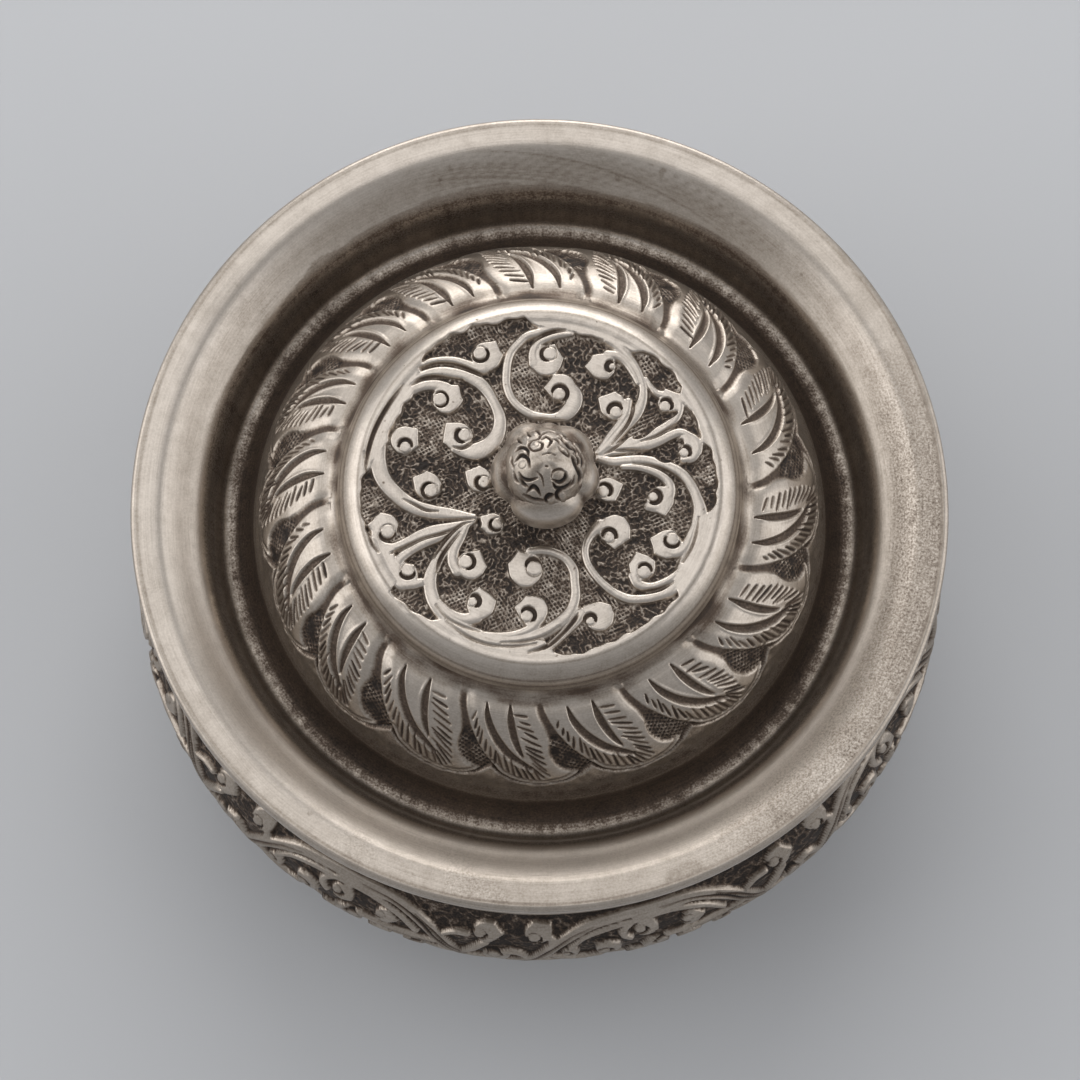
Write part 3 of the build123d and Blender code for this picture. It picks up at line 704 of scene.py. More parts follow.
def gutterAndRim(rings, backs, start):
    arcs = np.arange(start, lidTop.arc[-1], .28)
    shape = (len(arcs), fine)
    wave = roughField(shape, 26, 31, True)
    small = roughField(shape, 7, 32, True)
    pits = roughField(shape, 1, 33, True)
    stains = roughField(shape, 12, 34, True)
    scratches = np.repeat(roughField((1, fine), 1, 35, True), 2, axis=0)
    turn = 360 * np.arange(fine) / fine
    flatPaintedShade, slopePaintedLight = [np.interp(turn, *np.array(lid[key], float).T) for key in ("flatPaintedShade", "slopePaintedLight")]
    troughR, troughDepth, troughHalf = lid["trough"]

    def facing(degrees, low, high):
        return ease(np.cos(np.radians(turn - degrees)), low, high)

    atBack, behind = facing(80, .8, .95), facing(100, .25, .7)
    atRight, atFront = facing(-20, .6, .95), facing(-80, .6, .95)
    for k, arc in enumerate(arcs):
        r = lidTop.at(arc)[0]
        shift = np.clip(.4 * wave[k], -.6, .6)
        wall = ease(r, 41.8, 42.5) * (1 - ease(r, 44.6, 45.4))
        trough = np.exp(-((r - troughR) / troughHalf)**2)
        sand = ease(r, 44.6, 45.4) * (1 - ease(r, 48.8, 50.3 + .6 * shift))
        # the dark line is painted fainter in front, a painted highlight there
        line = np.exp(-((r - 48.3 - .3 * shift) / .45)**2) * (1 - .7 * atFront)
        line = line + .4 * np.exp(-((r - 49.4 - .5 * shift) / .2)**2)
        shelf = lid["bandFilm"] * np.exp(-((r - 45.4) / .9)**2) + lid["footFilm"] * ease(r, 48.4, 49.2)
        tint = lid["wallFilm"] * wall + (lid["floorFilm"] + shelf + .05 * stains[k]) * sand
        tint = tint + lid["lineFilm"] * line + .05 * scratches[0] * sand
        # painted highlight on the gutter's outer wall in front
        tint = tint - lid["frontPaintedHighlight"] * atFront * ease(r, 46.6, 47.8) * (1 - ease(r, 50.4, 51.6))
        grit = .3 * wall + .7 * sand + .5 * line
        torn = 50.3 + .5 * wave[k] + .22 * small[k]
        tint = tint + lid["tornFilm"] * behind * ease(r, 48.6, 49.4) * (1 - ease(r, torn, torn + .12))
        # the outer part: brushed at the back, etched by cleaning at the right, stained in front
        outer = ease(r, 51, 53) * (1 - ease(r, 58.6, 59))
        brushed = atBack * ease(r, 50, 52) * (1 - ease(r, 55.3 + .3 * shift, 55.6 + .3 * shift))
        tint = tint + brushed * (.06 + .05 * np.roll(scratches[0], int(9 * k)))
        slope = ease(r, 49.2, 50.2) * (1 - ease(r, 53.2, 55.2))
        # painted shade and painted highlight by degrees round the rim, on its flat part and on its slope
        tint = tint + slopePaintedLight * slope + flatPaintedShade * ease(r, 53.6, 55.6)
        spots = .07 * ease(stains[k], 1.0, 1.25) * (.4 + atFront) + .16 * ease(pits[k], 2.6, 3.4)
        tint = tint + outer * spots
        grit = grit + outer * (.8 * atRight + .4 * atFront * ease(small[k], 0, 1))
        tint = tint + .14 * np.exp(-((r - 59.0) / .16)**2) + outer * .1 * atRight + .1 * ease(r, 58.4, 59.2)
        lift = .02 * wave[k] * ease(r, 41.8, 43) * (1 - ease(r, 56, 58))
        faceRing(rings, arc, lift + sand * .013 * pits[k] - troughDepth * trough, fine, tint, grit)
        backs.append((arc, np.zeros(fine // 4)))
    edgeR, edgeRound = lid["edge"]
    for a in np.radians(np.arange(90, -1, -15)):
        r, z = edgeR - edgeRound + edgeRound * cos(a), rimHeight - edgeRound + edgeRound * sin(a)
        addRing(rings, r, z, fine, .12, 1, pageMain)


def backRings(rings, backs):
    # the sheet's back shows the raised work the other way round, softened
    low = rimHeight - lid["sheet"]
    addRing(rings, lid["edge"][0], low, fine // 2, .4, 1, pageMain, pageBack)
    last = 1e9
    for arc, lift in reversed(backs):
        if last - arc < .62 or arc < .4:
            continue
        last = arc
        r, z, nr, nz = lidTop.at(arc)
        away = lid["sheet"] - .7 * lift * ease(r, 6, 9)
        tint = .35 + .25 * ease(-lift, .2, .8)
        under = max(r - nr * lid["sheet"], .1)
        z = rimHeight + z - nz * away
        if r > lid["curve"][-1][0]:
            z, under = low, r
        addRing(rings, under - nr * (away - lid["sheet"]), z, fine // 4, tint, arc / lidTop.arc[-1], pageBack)
    addRing(rings, 0, rimHeight + lid["plateau"] - lid["sheet"], 1, .4, 0, pageBack)


def lidRings():
    rings, backs = [], []
    addRing(rings, 0, rimHeight + lid["plateau"], 1, 0, 0, pageMain)
    middleRings(rings, backs)
    end = leafRings(rings, backs)
    gutterAndRim(rings, backs, end)
    backRings(rings, backs)
    return rings


lidPiece = turnedMesh("lid_chased", lidRings())
print("lid made:", len(lidPiece.data.polygons), "faces")


# The bowl
bowl = {
    "lower": [(30.0, 6.6), (38.5, 7.4), (46.8, 9.7), (53.8, 13.7), (58.6, 18.9), (60.7, 23.4)],
    "shoulder": (49.0, 27.4, 12.0),     # centre radius and height, and roundness
    "neck": [(55.5, 39.4), (54.75, 42.1), (54.6, 45.1), (54.6, 48.4), (54.95, 51.3), (56.1, 53.9),
             (58.4, 55.8), (58.9, 56.7)],
    "sheet": 1.3,
    "depth": .95,                       # how far the ground is sunk between the scrolls
    "cutDepth": .45,
    "scrollFrom": 39.4,                 # height where the scroll band starts, under the neck
    "scrollLength": 21.5,               # measured down the wall
    "round": 1280,
    "leaves": 24,                       # leaf border round the foot
    "leafGap": 1.4,                     # from the scroll band's end to the leaves
    "leafLength": 16.6,
    "waves": 8,                         # crests of the scroll's stem round the bowl
    "firstWave": 16,                    # where the first one is, in degrees
    "lineDown": 21.7,                   # a dark line runs below the band, this far down the wall
    "groundDark": .62,
    "cutDark": .65,
}
# One wave of the scroll: degrees from the crest, mm down the wall, half width
waveStems = [
    [(-22.5, 18.7, .9), (-18.5, 16.9, 1.0), (-15.6, 12.9, .95), (-13.4, 8.9, .9), (-9.2, 5.5, .85),
     (-4.2, 4.4, .8), (1.5, 4.2, .8),
     (7.6, 4.9, .85), (12.4, 7.8, 1.0), (15.3, 12.0, 1.05), (18.2, 16.6, 1.0), (22.5, 18.7, .9)],
    [(-11.6, 10.2, .3), (-9.6, 7.6, .42), (-6.2, 6.3, .45), (-2, 5.8, .45), (3.4, 5.7, .42), (8.4, 7.4, .45),
     (11.2, 10.4, .3)],
    [(9.5, 5.4, .3), (4.2, 5.0, .45), (-.6, 5.2, .5), (-3.2, 6.6, .5), (-3.9, 8.4, .45), (-2.9, 9.8, .35)],
    [(15.2, 11.4, .3), (12.4, 12.9, .5), (8.4, 13.1, .55), (4.8, 12.6, .5), (2.4, 12.4, .4)],
    [(-15.2, 11.4, .3), (-13.0, 14.2, .5), (-10.0, 15.4, .5), (-7.6, 14.6, .5), (-6.8, 13.2, .45)],
    [(-19.5, 18.0, .3), (-14.6, 18.6, .55), (-10, 19.9, .5), (-5.8, 19.9, .45), (-3.4, 19.2, .4)],
    [(19.5, 18.0, .3), (14.8, 18.2, .5), (11.2, 19.6, .5), (7.6, 19.3, .45)],
    [(17.6, 15.0, .3), (19.4, 12.4, .5), (20.6, 10.2, .5), (21.4, 9.2, .4)],
    [(27.6, 15.2, .3), (26.6, 12.8, .5), (25.4, 11.8, .5), (23.6, 12.3, .4)],
    [(15.0, 8.9, .25), (16.6, 7.8, .35), (18.6, 7.6, .4)],
    [(30.6, 8.9, .25), (30.8, 7.4, .4), (29.6, 6.4, .45)],
]
waveCuts = [
    [(-20, 17.9, .08), (-17, 15.2, .2), (-14.7, 10.9, .22), (-11.6, 7.2, .14), (-8, 5.3, .08)],
    [(2, 4.4, .08), (7, 5.0, .16), (11.4, 7.2, .26), (14.2, 10.8, .28), (16.4, 14.2, .2), (19, 17.4, .08)],
    [(10.6, 5.9, .1), (13.8, 8.8, .2), (16.2, 12.6, .2), (18.6, 15.9, .12)],
    [(-12.9, 14.8, .08), (-10.2, 15.7, .2), (-7.8, 15.0, .14)],
    [(-16.4, 18.3, .1), (-11.6, 19.4, .26), (-7.4, 20.1, .18)],
    [(14.0, 12.5, .1), (10.2, 13.3, .24), (6.2, 13.0, .16)],
]
waveVolutes = [
    (-1.3, 7.9, .75, -80, 95, .3, -.7, 8.0, 1.9, (60, -30)),
    (5.6, 8.9, .7, 200, 90, .3, 6.0, 9.1, 1.75, (0, 80)),
    (-6.6, 12.3, .75, 60, 95, .32, -6.3, 12.0, 1.95, (140, 40)),
    (1.6, 13.9, .85, 100, 100, .36, 1.2, 14.2, 2.2, (-40, -110)),
    (-2.9, 18.0, .7, 90, 85, .3, -2.6, 17.9, 1.75, (30, -40)),
    (6.2, 17.7, .7, 100, 90, .3, 5.9, 17.5, 1.8, (20, 150)),
    (20.4, 6.7, .8, 250, 120, .28, 21.0, 6.6, 2.1, (0, 60)),
    (28.4, 6.6, .8, -85, 95, .34, 28.7, 6.2, 2.1, (40, 110)),
    (22.6, 13.1, .8, 80, 90, .3, 22.8, 13.6, 2.0, (-60, -120)),
    (-12.2, 12.1, .5, 20, 90, .26, -11.6, 12.0, 1.35, (60, -60)),
    (11.4, 16.1, .6, 120, 90, .28, 11.2, 16.2, 1.6, (-30, 60)),
]


def scrollBand(turn, down):
    # unrolls one wave after another round the bowl, each a little different
    perDegree = radians(60.0)           # millimetres of wall at the band, about 60 from the axis
    pitch = 360 / bowl["waves"]
    stems, cuts, volutes = [], [], []
    for index in range(-1, bowl["waves"] + 1):
        crest = bowl["firstWave"] + pitch * index
        moves = np.random.default_rng(40 + index % bowl["waves"]).normal(0, .16, (40, 2))
        for points in waveStems:
            stems.append([((crest + a) * perDegree, -b, w) for a, b, w in points])
        for points in waveCuts:
            cuts.append([((crest + a) * perDegree, -b, w) for a, b, w in points])
        for i, (a, b, eye, face, span, wide, bodyA, bodyB, size, corners) in enumerate(waveVolutes):
            dx, dy = moves[i]
            place = ((crest + a) * perDegree + dx, -b + dy)
            body = ((crest + bodyA) * perDegree + dx, -bodyB + dy)
            volutes.append(place + (eye, face, span, wide) + body + (size, corners))
    height, cut = raisedWork((turn * perDegree).ravel(), -down.ravel(), stems, cuts, volutes)
    return height.reshape(turn.shape), cut.reshape(turn.shape)


def bowlProfile():
    # from the lip down to the flat floor
    centreR, centreZ, arcR = bowl["shoulder"]
    shoulder = [(centreR + arcR * cos(a), centreZ + arcR * sin(a)) for a in np.radians((0, 15, 30, 45))]
    outside = smoothPath(bowl["lower"] + shoulder + bowl["neck"])
    floorHeight = bowl["lower"][0][1]
    return Profile(np.vstack([outside[::-1], [(r, floorHeight) for r in np.arange(29.6, 0, -.4)]]))


bowlDown = bowlProfile()
bowlTurns = 360 * np.arange(bowl["round"]) / bowl["round"]
scrollArc = np.interp(-bowl["scrollFrom"], -bowlDown.path[:600, 1], bowlDown.arc[:600])
leafTop = scrollArc + bowl["scrollLength"] + bowl["leafGap"]
leafEnd = leafTop + bowl["leafLength"]


def scrollRows():
    # place down the wall, lift, darkness and graininess of each row
    arcs = np.concatenate([
        np.arange(scrollArc, scrollArc + 15, .21), np.arange(scrollArc + 15, leafTop, .26),
    ])
    turn, arc = np.meshgrid(bowlTurns, arcs)
    depth = arc - scrollArc
    height, cut = scrollBand(turn, depth)
    height = np.maximum(height, np.maximum(1 - ease(depth, 2.0, 2.6), ease(depth, 20.6, 21.1)))
    ground = 1 - ease(height, 0, .4)
    rough = roughField(height.shape, 1, 61, True)
    light = 1 - ease(abs(rough), .1, .6)
    height = bowl["depth"] * (height - 1) - bowl["cutDepth"] * cut * height + ground * .1 * light
    fromLine = abs(depth - bowl["lineDown"])
    height -= .3 * (1 - ease(fromLine, .1, .5))
    # darker in the hollows of the scrolls: patina there, and painted shade
    hollow = np.clip(soften(height, 3, True) - height, 0, None)
    dark = np.maximum(cut * bowl["cutDark"], ease(hollow, .04, .3) * .5)
    # a painted shade of .18 over the whole band, for the dark surroundings the belly would reflect
    dark = .18 + np.maximum(ground * (bowl["groundDark"] - .34 * light), dark)
    dark = np.maximum(dark, .6 * (1 - ease(fromLine, .15, .5)))
    print("scroll band of the bowl shaped")
    begin = ease(arcs - scrollArc, 0, 1.2)
    return [(a, height[k] * begin[k], dark[k], .5 * ground[k]) for k, a in enumerate(arcs)]


def leafRows():
    arcs = np.arange(leafTop, leafEnd, .26)
    turn, arc = np.meshgrid(bowlTurns, arcs)
    leaves = bowl["leaves"]
    starts = list(360 / leaves * np.arange(leaves) + np.random.default_rng(3).normal(0, .25, leaves))
    height, dark, grit = leafBorder(turn, 1.2 + leafEnd - arc, starts, 52.0, 300)
    height += .03 * roughField(height.shape, 20, 62, True)
    # darker in the hollows of the leaves: patina there, and painted shade
    hollow = np.clip(soften(height, 3, True) - height, 0, None)
    dark = np.maximum(dark, ease(hollow, .03, .25) * .6)
    fade = 1 - ease(arc, leafEnd - 1.5, leafEnd)
    print("leaf border of the bowl shaped")
    return [(a, height[k] * fade[k], dark[k] * fade[k], grit[k] * fade[k]) for k, a in enumerate(arcs)]


def bowlRings():
    count, full = bowl["round"], bowlDown.arc[-1]
    floorHeight = bowl["lower"][0][1]
    bands = scrollRows() + leafRows()

    # from the floor up the inside to the lip; the sheet's back follows the raised work, softened
    rings = []
    addRing(rings, 0, floorHeight + bowl["sheet"], 1, .35, 0, pageBack)
    places = np.array([band[0] for band in bands])
    backs = soften(np.array([band[1][::4] for band in bands]), 3, True)
    for a in np.concatenate([np.arange(full - 1.2, leafEnd, -1.6), np.arange(leafEnd, 1.5, -.8)]):
        r, z, nr, nz = bowlDown.at(a)
        inBand = scrollArc + 1 < a < leafEnd
        lift = backs[min(np.searchsorted(places, a), len(places) - 1)] if inBand else 0
        away = bowl["sheet"] - .95 * lift
        addRing(rings, r - nr * away, z - nz * away, count // 4, .34 - .2 * lift, (full - a) / full, pageBack)
    lipR, lipHeight = bowl["neck"][-1]
    addRing(rings, lipR - 1.5 * bowl["sheet"], lipHeight, count // 4, .4, 1, pageBack, pageMain)
    addRing(rings, lipR, lipHeight, count // 2, .5, .995, pageMain)

    # then down the outside: plain neck, the two bands, plain floor
    outer = []
    for a in np.arange(.45, scrollArc - .1, .45):
        tint = .22 + .3 * ease(a, scrollArc - 3, scrollArc) + .4 * (1 - ease(a, .5, 3))
        outer.append((a, count // 2, 0, tint, 0))
    outer += [(a, count, lift, tint, grit) for a, lift, tint, grit in bands]
    outer.append((leafEnd + .3, count // 2, 0, .3, 0))
    outer += [(a, count // 4, 0, .3, 0) for a in np.arange(leafEnd + 1, full - .5, 1.2)]
    for a, n, lift, tint, grit in outer:
        r, z, nr, nz = bowlDown.at(a)
        addRing(rings, r + nr * lift, z + nz * lift, n, tint, .99 * (full - a) / full, pageMain, grit=grit)
    addRing(rings, 0, floorHeight, 1, .3, 0, pageMain)
    return rings


bowlPiece = turnedMesh("bowl_chased", bowlRings())
print("bowl made:", len(bowlPiece.data.polygons), "faces")


# The knob: five puffed lobes round a chased dome
knob = {
    "lobeCentre": 80.3,         # heights above the table
    "budCentre": 82.0,
    "budHalf": (6.15, 6.4),
    "core": (4.3, 4.5),
    # degrees, distance out, half depth, half width, half height, lift
    "lobes": [(44, 4.5, 3.5, 4.0, 4.4, .1), (121, 4.6, 3.3, 3.4, 4.2, .2), (181, 4.4, 3.5, 4.3, 4.4, -.1),
              (274, 4.3, 3.85, 5.3, 4.6, -.2), (350, 4.3, 3.6, 3.7, 4.2, -.3), (85, 4.9, 2.7, 2.3, 3.4, -.7)],
    "crease": .28,              # softness where two lobes meet
    # darkness between dome and lobes, by degrees
    "moat": [(0, .4), (45, .5), (90, .4), (135, .3), (200, .55), (240, .35), (280, .15), (330, .2),
             (360, .4)],
    "cutDepth": .42,
}
# Chasing on the dome, seen from above: x, y, half width
budCuts = [
    [(-4.7, 3.2, .08), (-4.2, 3.8, .2), (-3.5, 2.9, .12)],
    [(-3.7, 4.2, .08), (-2.9, 4.8, .2), (-2.2, 3.9, .12)],
    [(-2.1, 4.9, .08), (-1.4, 5.2, .2), (-.8, 4.2, .12)],
    [(-4.3, 1.7, .08), (-3.4, 2.1, .24), (-2.6, 1.5, .2), (-2.5, .5, .1)],
    [(-4.4, .1, .08), (-3.5, .8, .26), (-2.6, .2, .24), (-2.2, -1.2, .08)],
    [(-2.4, 3.0, .06), (-1.0, 3.3, .12), (-.5, 4.1, .12), (.7, 4.8, .1), (1.9, 4.3, .12), (3.0, 2.9, .08)],
    [(-.5, 3.2, .08), (.2, 3.65, .16), (.9, 2.9, .18), (.4, 1.8, .08)],
    [(-1.0, 3.2, .06), (-2.0, 3.0, .12), (-2.4, 2.1, .14), (-1.7, 1.3, .12), (-.7, 1.5, .14), (-.4, 2.4, .14),
     (-1.0, 2.8, .06)],
    [(1.0, 3.3, .06), (1.8, 3.1, .16), (2.3, 2.3, .06)],
    [(2.9, 3.0, .1), (3.5, 2.2, .26), (4.3, 1.7, .1)],
    [(2.7, 4.7, .1), (3.5, 4.1, .28), (4.4, 3.4, .1)],
    [(2.0, 2.1, .06), (2.5, 1.2, .12), (3.5, .7, .14), (3.3, 1.5, .1), (2.3, 2.4, .06)],
    [(3.9, .8, .1), (4.5, -.5, .3), (4.9, -1.6, .12)],
    [(4.9, -.8, .1), (5.2, -1.7, .3), (5.0, -2.7, .12)],
    [(5.3, 1.7, .08), (5.5, .6, .24), (5.4, -.3, .1)],
    [(4.3, 2.8, .06), (4.9, 1.9, .16), (5.1, 1.1, .06)],
    [(-3.8, -1.7, .08), (-3.3, -2.5, .2), (-2.3, -2.9, .2), (-1.1, -2.7, .08)],
    [(-3.7, -2.5, .08), (-3.2, -3.2, .22), (-2.5, -3.8, .08)],
    [(-2.7, -4.4, .08), (-1.9, -3.8, .28), (-1.2, -4.1, .24), (-.7, -4.9, .08)],
    [(1.0, -2.9, .08), (2.1, -3.15, .24), (2.9, -2.6, .26), (3.0, -1.7, .08)],
    [(.9, -2.6, .05), (1.2, -1.8, .12), (2.2, -1.4, .12), (2.9, -1.7, .05)],
    [(1.1, -3.3, .08), (1.6, -3.9, .22), (2.6, -3.9, .24), (3.5, -3.3, .18), (3.8, -2.7, .06)],
    [(2.7, -4.0, .08), (1.9, -4.4, .3), (1.7, -4.9, .28), (2.2, -5.3, .08)],
    [(1.4, -4.8, .08), (.6, -4.9, .32), (.1, -5.3, .3), (.3, -5.6, .1)],
    [(-3.2, -4.5, .08), (-1.6, -5.2, .18), (0, -5.45, .1)],
    [(-1.2, -1.9, .05), (-.5, -2.6, .12), (-.2, -3.8, .05)],
    [(.1, -1.1, .1), (.35, -1.15, .1)],
    [(1.6, 4.7, .06), (2.5, 4.5, .2), (3.1, 3.9, .06)],
    [(3.0, 3.7, .06), (3.9, 3.3, .2), (4.3, 2.6, .06)],
    [(3.7, 2.6, .06), (4.4, 1.9, .2), (4.6, 1.1, .06)],
    [(4.2, 1.3, .06), (4.9, .4, .2), (4.8, -.5, .06)],
    [(1.9, 3.6, .06), (2.6, 3.2, .14), (2.9, 2.6, .06)],
    [(-4.9, 1.0, .06), (-4.9, .1, .16), (-4.6, -.8, .06)],
    [(-4.6, -1.4, .06), (-4.3, -2.4, .16), (-3.8, -3.0, .06)],
    [(-.4, .6, .05), (.6, .9, .1), (1.5, .6, .05)],
    [(3.4, -3.7, .06), (4.1, -2.9, .14), (4.3, -2.0, .06)],
]
# Beads on it: x, y, radius
budBeads = [(-3.9, 2.6, .5), (-2.8, 3.9, .5), (-1.5, 4.3, .45), (-3.4, 1.1, .5), (-3.3, -.6, .6),
            (-1.35, 2.3, .5), (-1.6, -4.7, .55), (2.2, 4.0, .45), (3.4, 3.0, .45), (4.0, 1.9, .45),
            (4.4, .7, .45), (-4.4, -.1, .4), (1.9, -3.5, .5), (2.0, -2.3, .7), (.9, -5.3, .4),
            (2.6, -4.8, .5), (2.8, 1.5, .4)]


def budRings():
    wide, tall = knob["budHalf"]
    count = 384
    turn = 2 * pi * np.arange(count) / count
    steps = np.concatenate([np.arange(1, 100, .9), np.arange(102, 180, 6)])
    away, around = np.meshgrid(np.radians(steps), turn, indexing="ij")
    x, y = wide * np.sin(away) * np.cos(around), wide * np.sin(away) * np.sin(around)
    cut = np.zeros(x.size)
    bead = np.zeros(x.size)
    for points in budCuts:
        line = curveThrough(points, .04)
        pick, gap, k = nearLine(x.ravel(), y.ravel(), line, .7)
        width = line[k, 2]
        shade = (1 - ease(gap, width * .4, width + .12)) * np.clip(width / .2, .4, 1)
        cut[pick] = np.maximum(cut[pick], shade)
    for beadX, beadY, size in budBeads:
        gap = np.hypot(x.ravel() - beadX, y.ravel() - beadY)
        bead = np.maximum(bead, np.sqrt(np.clip(1 - (gap / size)**2, 0, 1)))
    upper = (away < pi / 2).astype(float)
    cut, bead = cut.reshape(x.shape) * upper, bead.reshape(x.shape) * upper
    rim = ease(np.degrees(away), 62, 78) * upper
    offPole = ease(np.degrees(away), 3, 14)
    lift = .13 * bead - knob["cutDepth"] * cut + .05 * offPole * roughField(x.shape, 9, 71, True) - .12
    lift += .05 * rim * roughField(x.shape, 2, 72, True)
    dark = np.maximum(cut * .7, rim * (.25 + .12 * roughField(x.shape, 2, 73, True)))
    dark = .14 + np.maximum(dark, .14 * offPole * ease(roughField(x.shape, 12, 74, True), -.2, 1.2))
    rings = []
    addRing(rings, 0, knob["budCentre"] + tall - .15, 1, .1, 0, pageMain)
    for k, a in enumerate(away[:, 0]):
        nr, nz = sin(a) / wide, cos(a) / tall
        size = np.hypot(nr, nz)
        page = pageMain if steps[k] < 100 else pageBack
        share = a / radians(100) if steps[k] < 100 else (pi - a) / radians(78)
        turnPage = pageBack if steps[k] < 100 <= steps[k + 1] else page
        r, z = wide * sin(a) + nr / size * lift[k], knob["budCentre"] + tall * cos(a) + nz / size * lift[k]
        addRing(rings, r, z, count, dark[k], min(share, 1), page, turnPage)
    addRing(rings, 0, knob["budCentre"] - tall, 1, .4, 0, pageBack)
    return rings


def lobeRings():
    # each point is found by looking outward from the knob's middle for the lobes' common skin
    count = 320
    turn = 2 * pi * np.arange(count) / count
    steps = np.arange(3, 178, 1.5)
    away, around = np.meshgrid(np.radians(steps), turn, indexing="ij")
    ray = np.stack([np.sin(away) * np.cos(around), np.sin(away) * np.sin(around), np.cos(away)], -1)

    def skin(reach):
        x, y, z = np.moveaxis(ray * reach[..., None], -1, 0)
        coreWide, coreTall = knob["core"]
        gaps = [(np.sqrt((np.hypot(x, y) / coreWide)**2 + (z / coreTall)**2) - 1) * 4]
        for angle, out, deep, wide, tall, lift in knob["lobes"]:
            c, s = cos(radians(angle)), sin(radians(angle))
            u = (x * c + y * s - out) / deep
            v = (y * c - x * s) / wide
            w = (z - lift) / tall
            gaps.append((np.sqrt(u * u + v * v + w * w) - 1) * deep)
        soft = knob["crease"]
        gaps = np.array(gaps)
        least = gaps.min(0)
        return least - soft * np.log(np.exp(-(gaps - least) / soft).sum(0)) + soft * .3, gaps

    low, high = np.zeros(away.shape), np.full(away.shape, 10.0)
    found = np.zeros(away.shape, bool)
    for reach in np.arange(9.75, 0, -.25):
        value = skin(np.full(away.shape, reach))[0]
        fresh = (value < 0) & ~found
        low[fresh], high[fresh] = reach, reach + .25
        found |= fresh
    for _ in range(9):
        middle = (low + high) / 2
        inside = skin(middle)[0] < 0
        low, high = np.where(inside, middle, low), np.where(inside, high, middle)
    reach = low + .03 * roughField(away.shape, 14, 81, True)
    order = np.sort(skin(reach)[1][1:], axis=0)
    crease = 1 - ease(order[1] - order[0], .1, .9)
    x, y, z = np.moveaxis(ray * reach[..., None], -1, 0)
    out = np.hypot(x, y)
    wide, tall = knob["budHalf"]
    budGap = np.sqrt((out / wide)**2 + ((z + knob["lobeCentre"] - knob["budCentre"]) / tall)**2) - 1
    moat = np.interp(np.degrees(around), *np.array(knob["moat"], float).T)
    seam = (1 - ease(budGap * wide, .1, 1.1)) * moat
    # painted shade on the undersides of the lobes
    dark = np.maximum(.45 * crease, np.maximum(seam, .25 * ease(-z, 1.5, 4)))
    dark = dark * (1 + .15 * roughField(away.shape, 3, 82, True))
    rings = []
    addRing(rings, 0, knob["lobeCentre"] + reach[0].mean(), 1, .3, 0, pageMain)
    for k, a in enumerate(away[:, 0]):
        addRing(rings, out[k], knob["lobeCentre"] + z[k], count, dark[k], a / pi, pageMain)
    addRing(rings, 0, knob["lobeCentre"] - reach[-1].mean(), 1, .5, 1, pageMain)
    return rings


budPiece = turnedMesh("knob_dome_chased", budRings())
lobePiece = turnedMesh("knob_lobes", lobeRings())
for piece in (budPiece, lobePiece):
    piece.location.x = knobPlace * mm
print("knob made")


# Materials

def linear(code):
    # sRGB hex to the linear colour that the shader wants
    parts = [int(code[i:i + 2], 16) / 255 for i in (1, 3, 5)]
    return tuple(c / 12.92 if c <= .04045 else ((c + .055) / 1.055)**2.4 for c in parts) + (1,)


def addNode(tree, kind, settings=None, inputs=None):
    # a node with its settings; an input is a value, another node's output, or a node for its first output
    node = tree.nodes.new("ShaderNode" + kind)
    for key, value in (settings or {}).items():
        setattr(node, key, value)
    for key, value in (inputs or {}).items():
        if isinstance(value, bpy.types.Node):
            value = value.outputs[0]
        if isinstance(value, bpy.types.NodeSocket):
            tree.links.new(value, node.inputs[key])
        else:
            node.inputs[key].default_value = value
    return node


def perMetre(size):
    # a noise scale from the size of one feature in millimetres
    return 1 / (size * mm)


silver = {
    "bare": "#CFC5BA",          # rubbed silver, very slightly warm
    "grey": "#A89D91",          # first tarnish
    "brown": "#5F5044",         # sulphide film in the hollows
    "black": "#231B16",         # old polish and dirt in the deepest cuts
    "cloud": 16,                # mm, drifting tarnish
    "mottle": 2.2,              # mm, uneven rubbing
    "grain": .32,               # mm, hammer and punch grain, drawn coarse enough to show
    "rubbing": .16,             # mm, lines left by rubbing round the box, drawn coarse enough to show
    "mottleFilm": .24, "cloudFilm": .16, "rubbingFilm": .22,    # how much film each of them gives and takes
    "rubbed": -.13,             # the film everywhere else, rubbed this thin
    "ramp": (.12, .4, .72),     # film at which bare, grey and brown are reached; black is at 1
    "rough": (.3, .58),         # roughness, bare and under full film
    "filmMetal": .35,           # how metallic the thickest film still looks
}


def startMaterial(name):
    material = bpy.data.materials.new(name)
    material.use_nodes = True
    tree = material.node_tree
    tree.nodes.clear()
    return material, tree


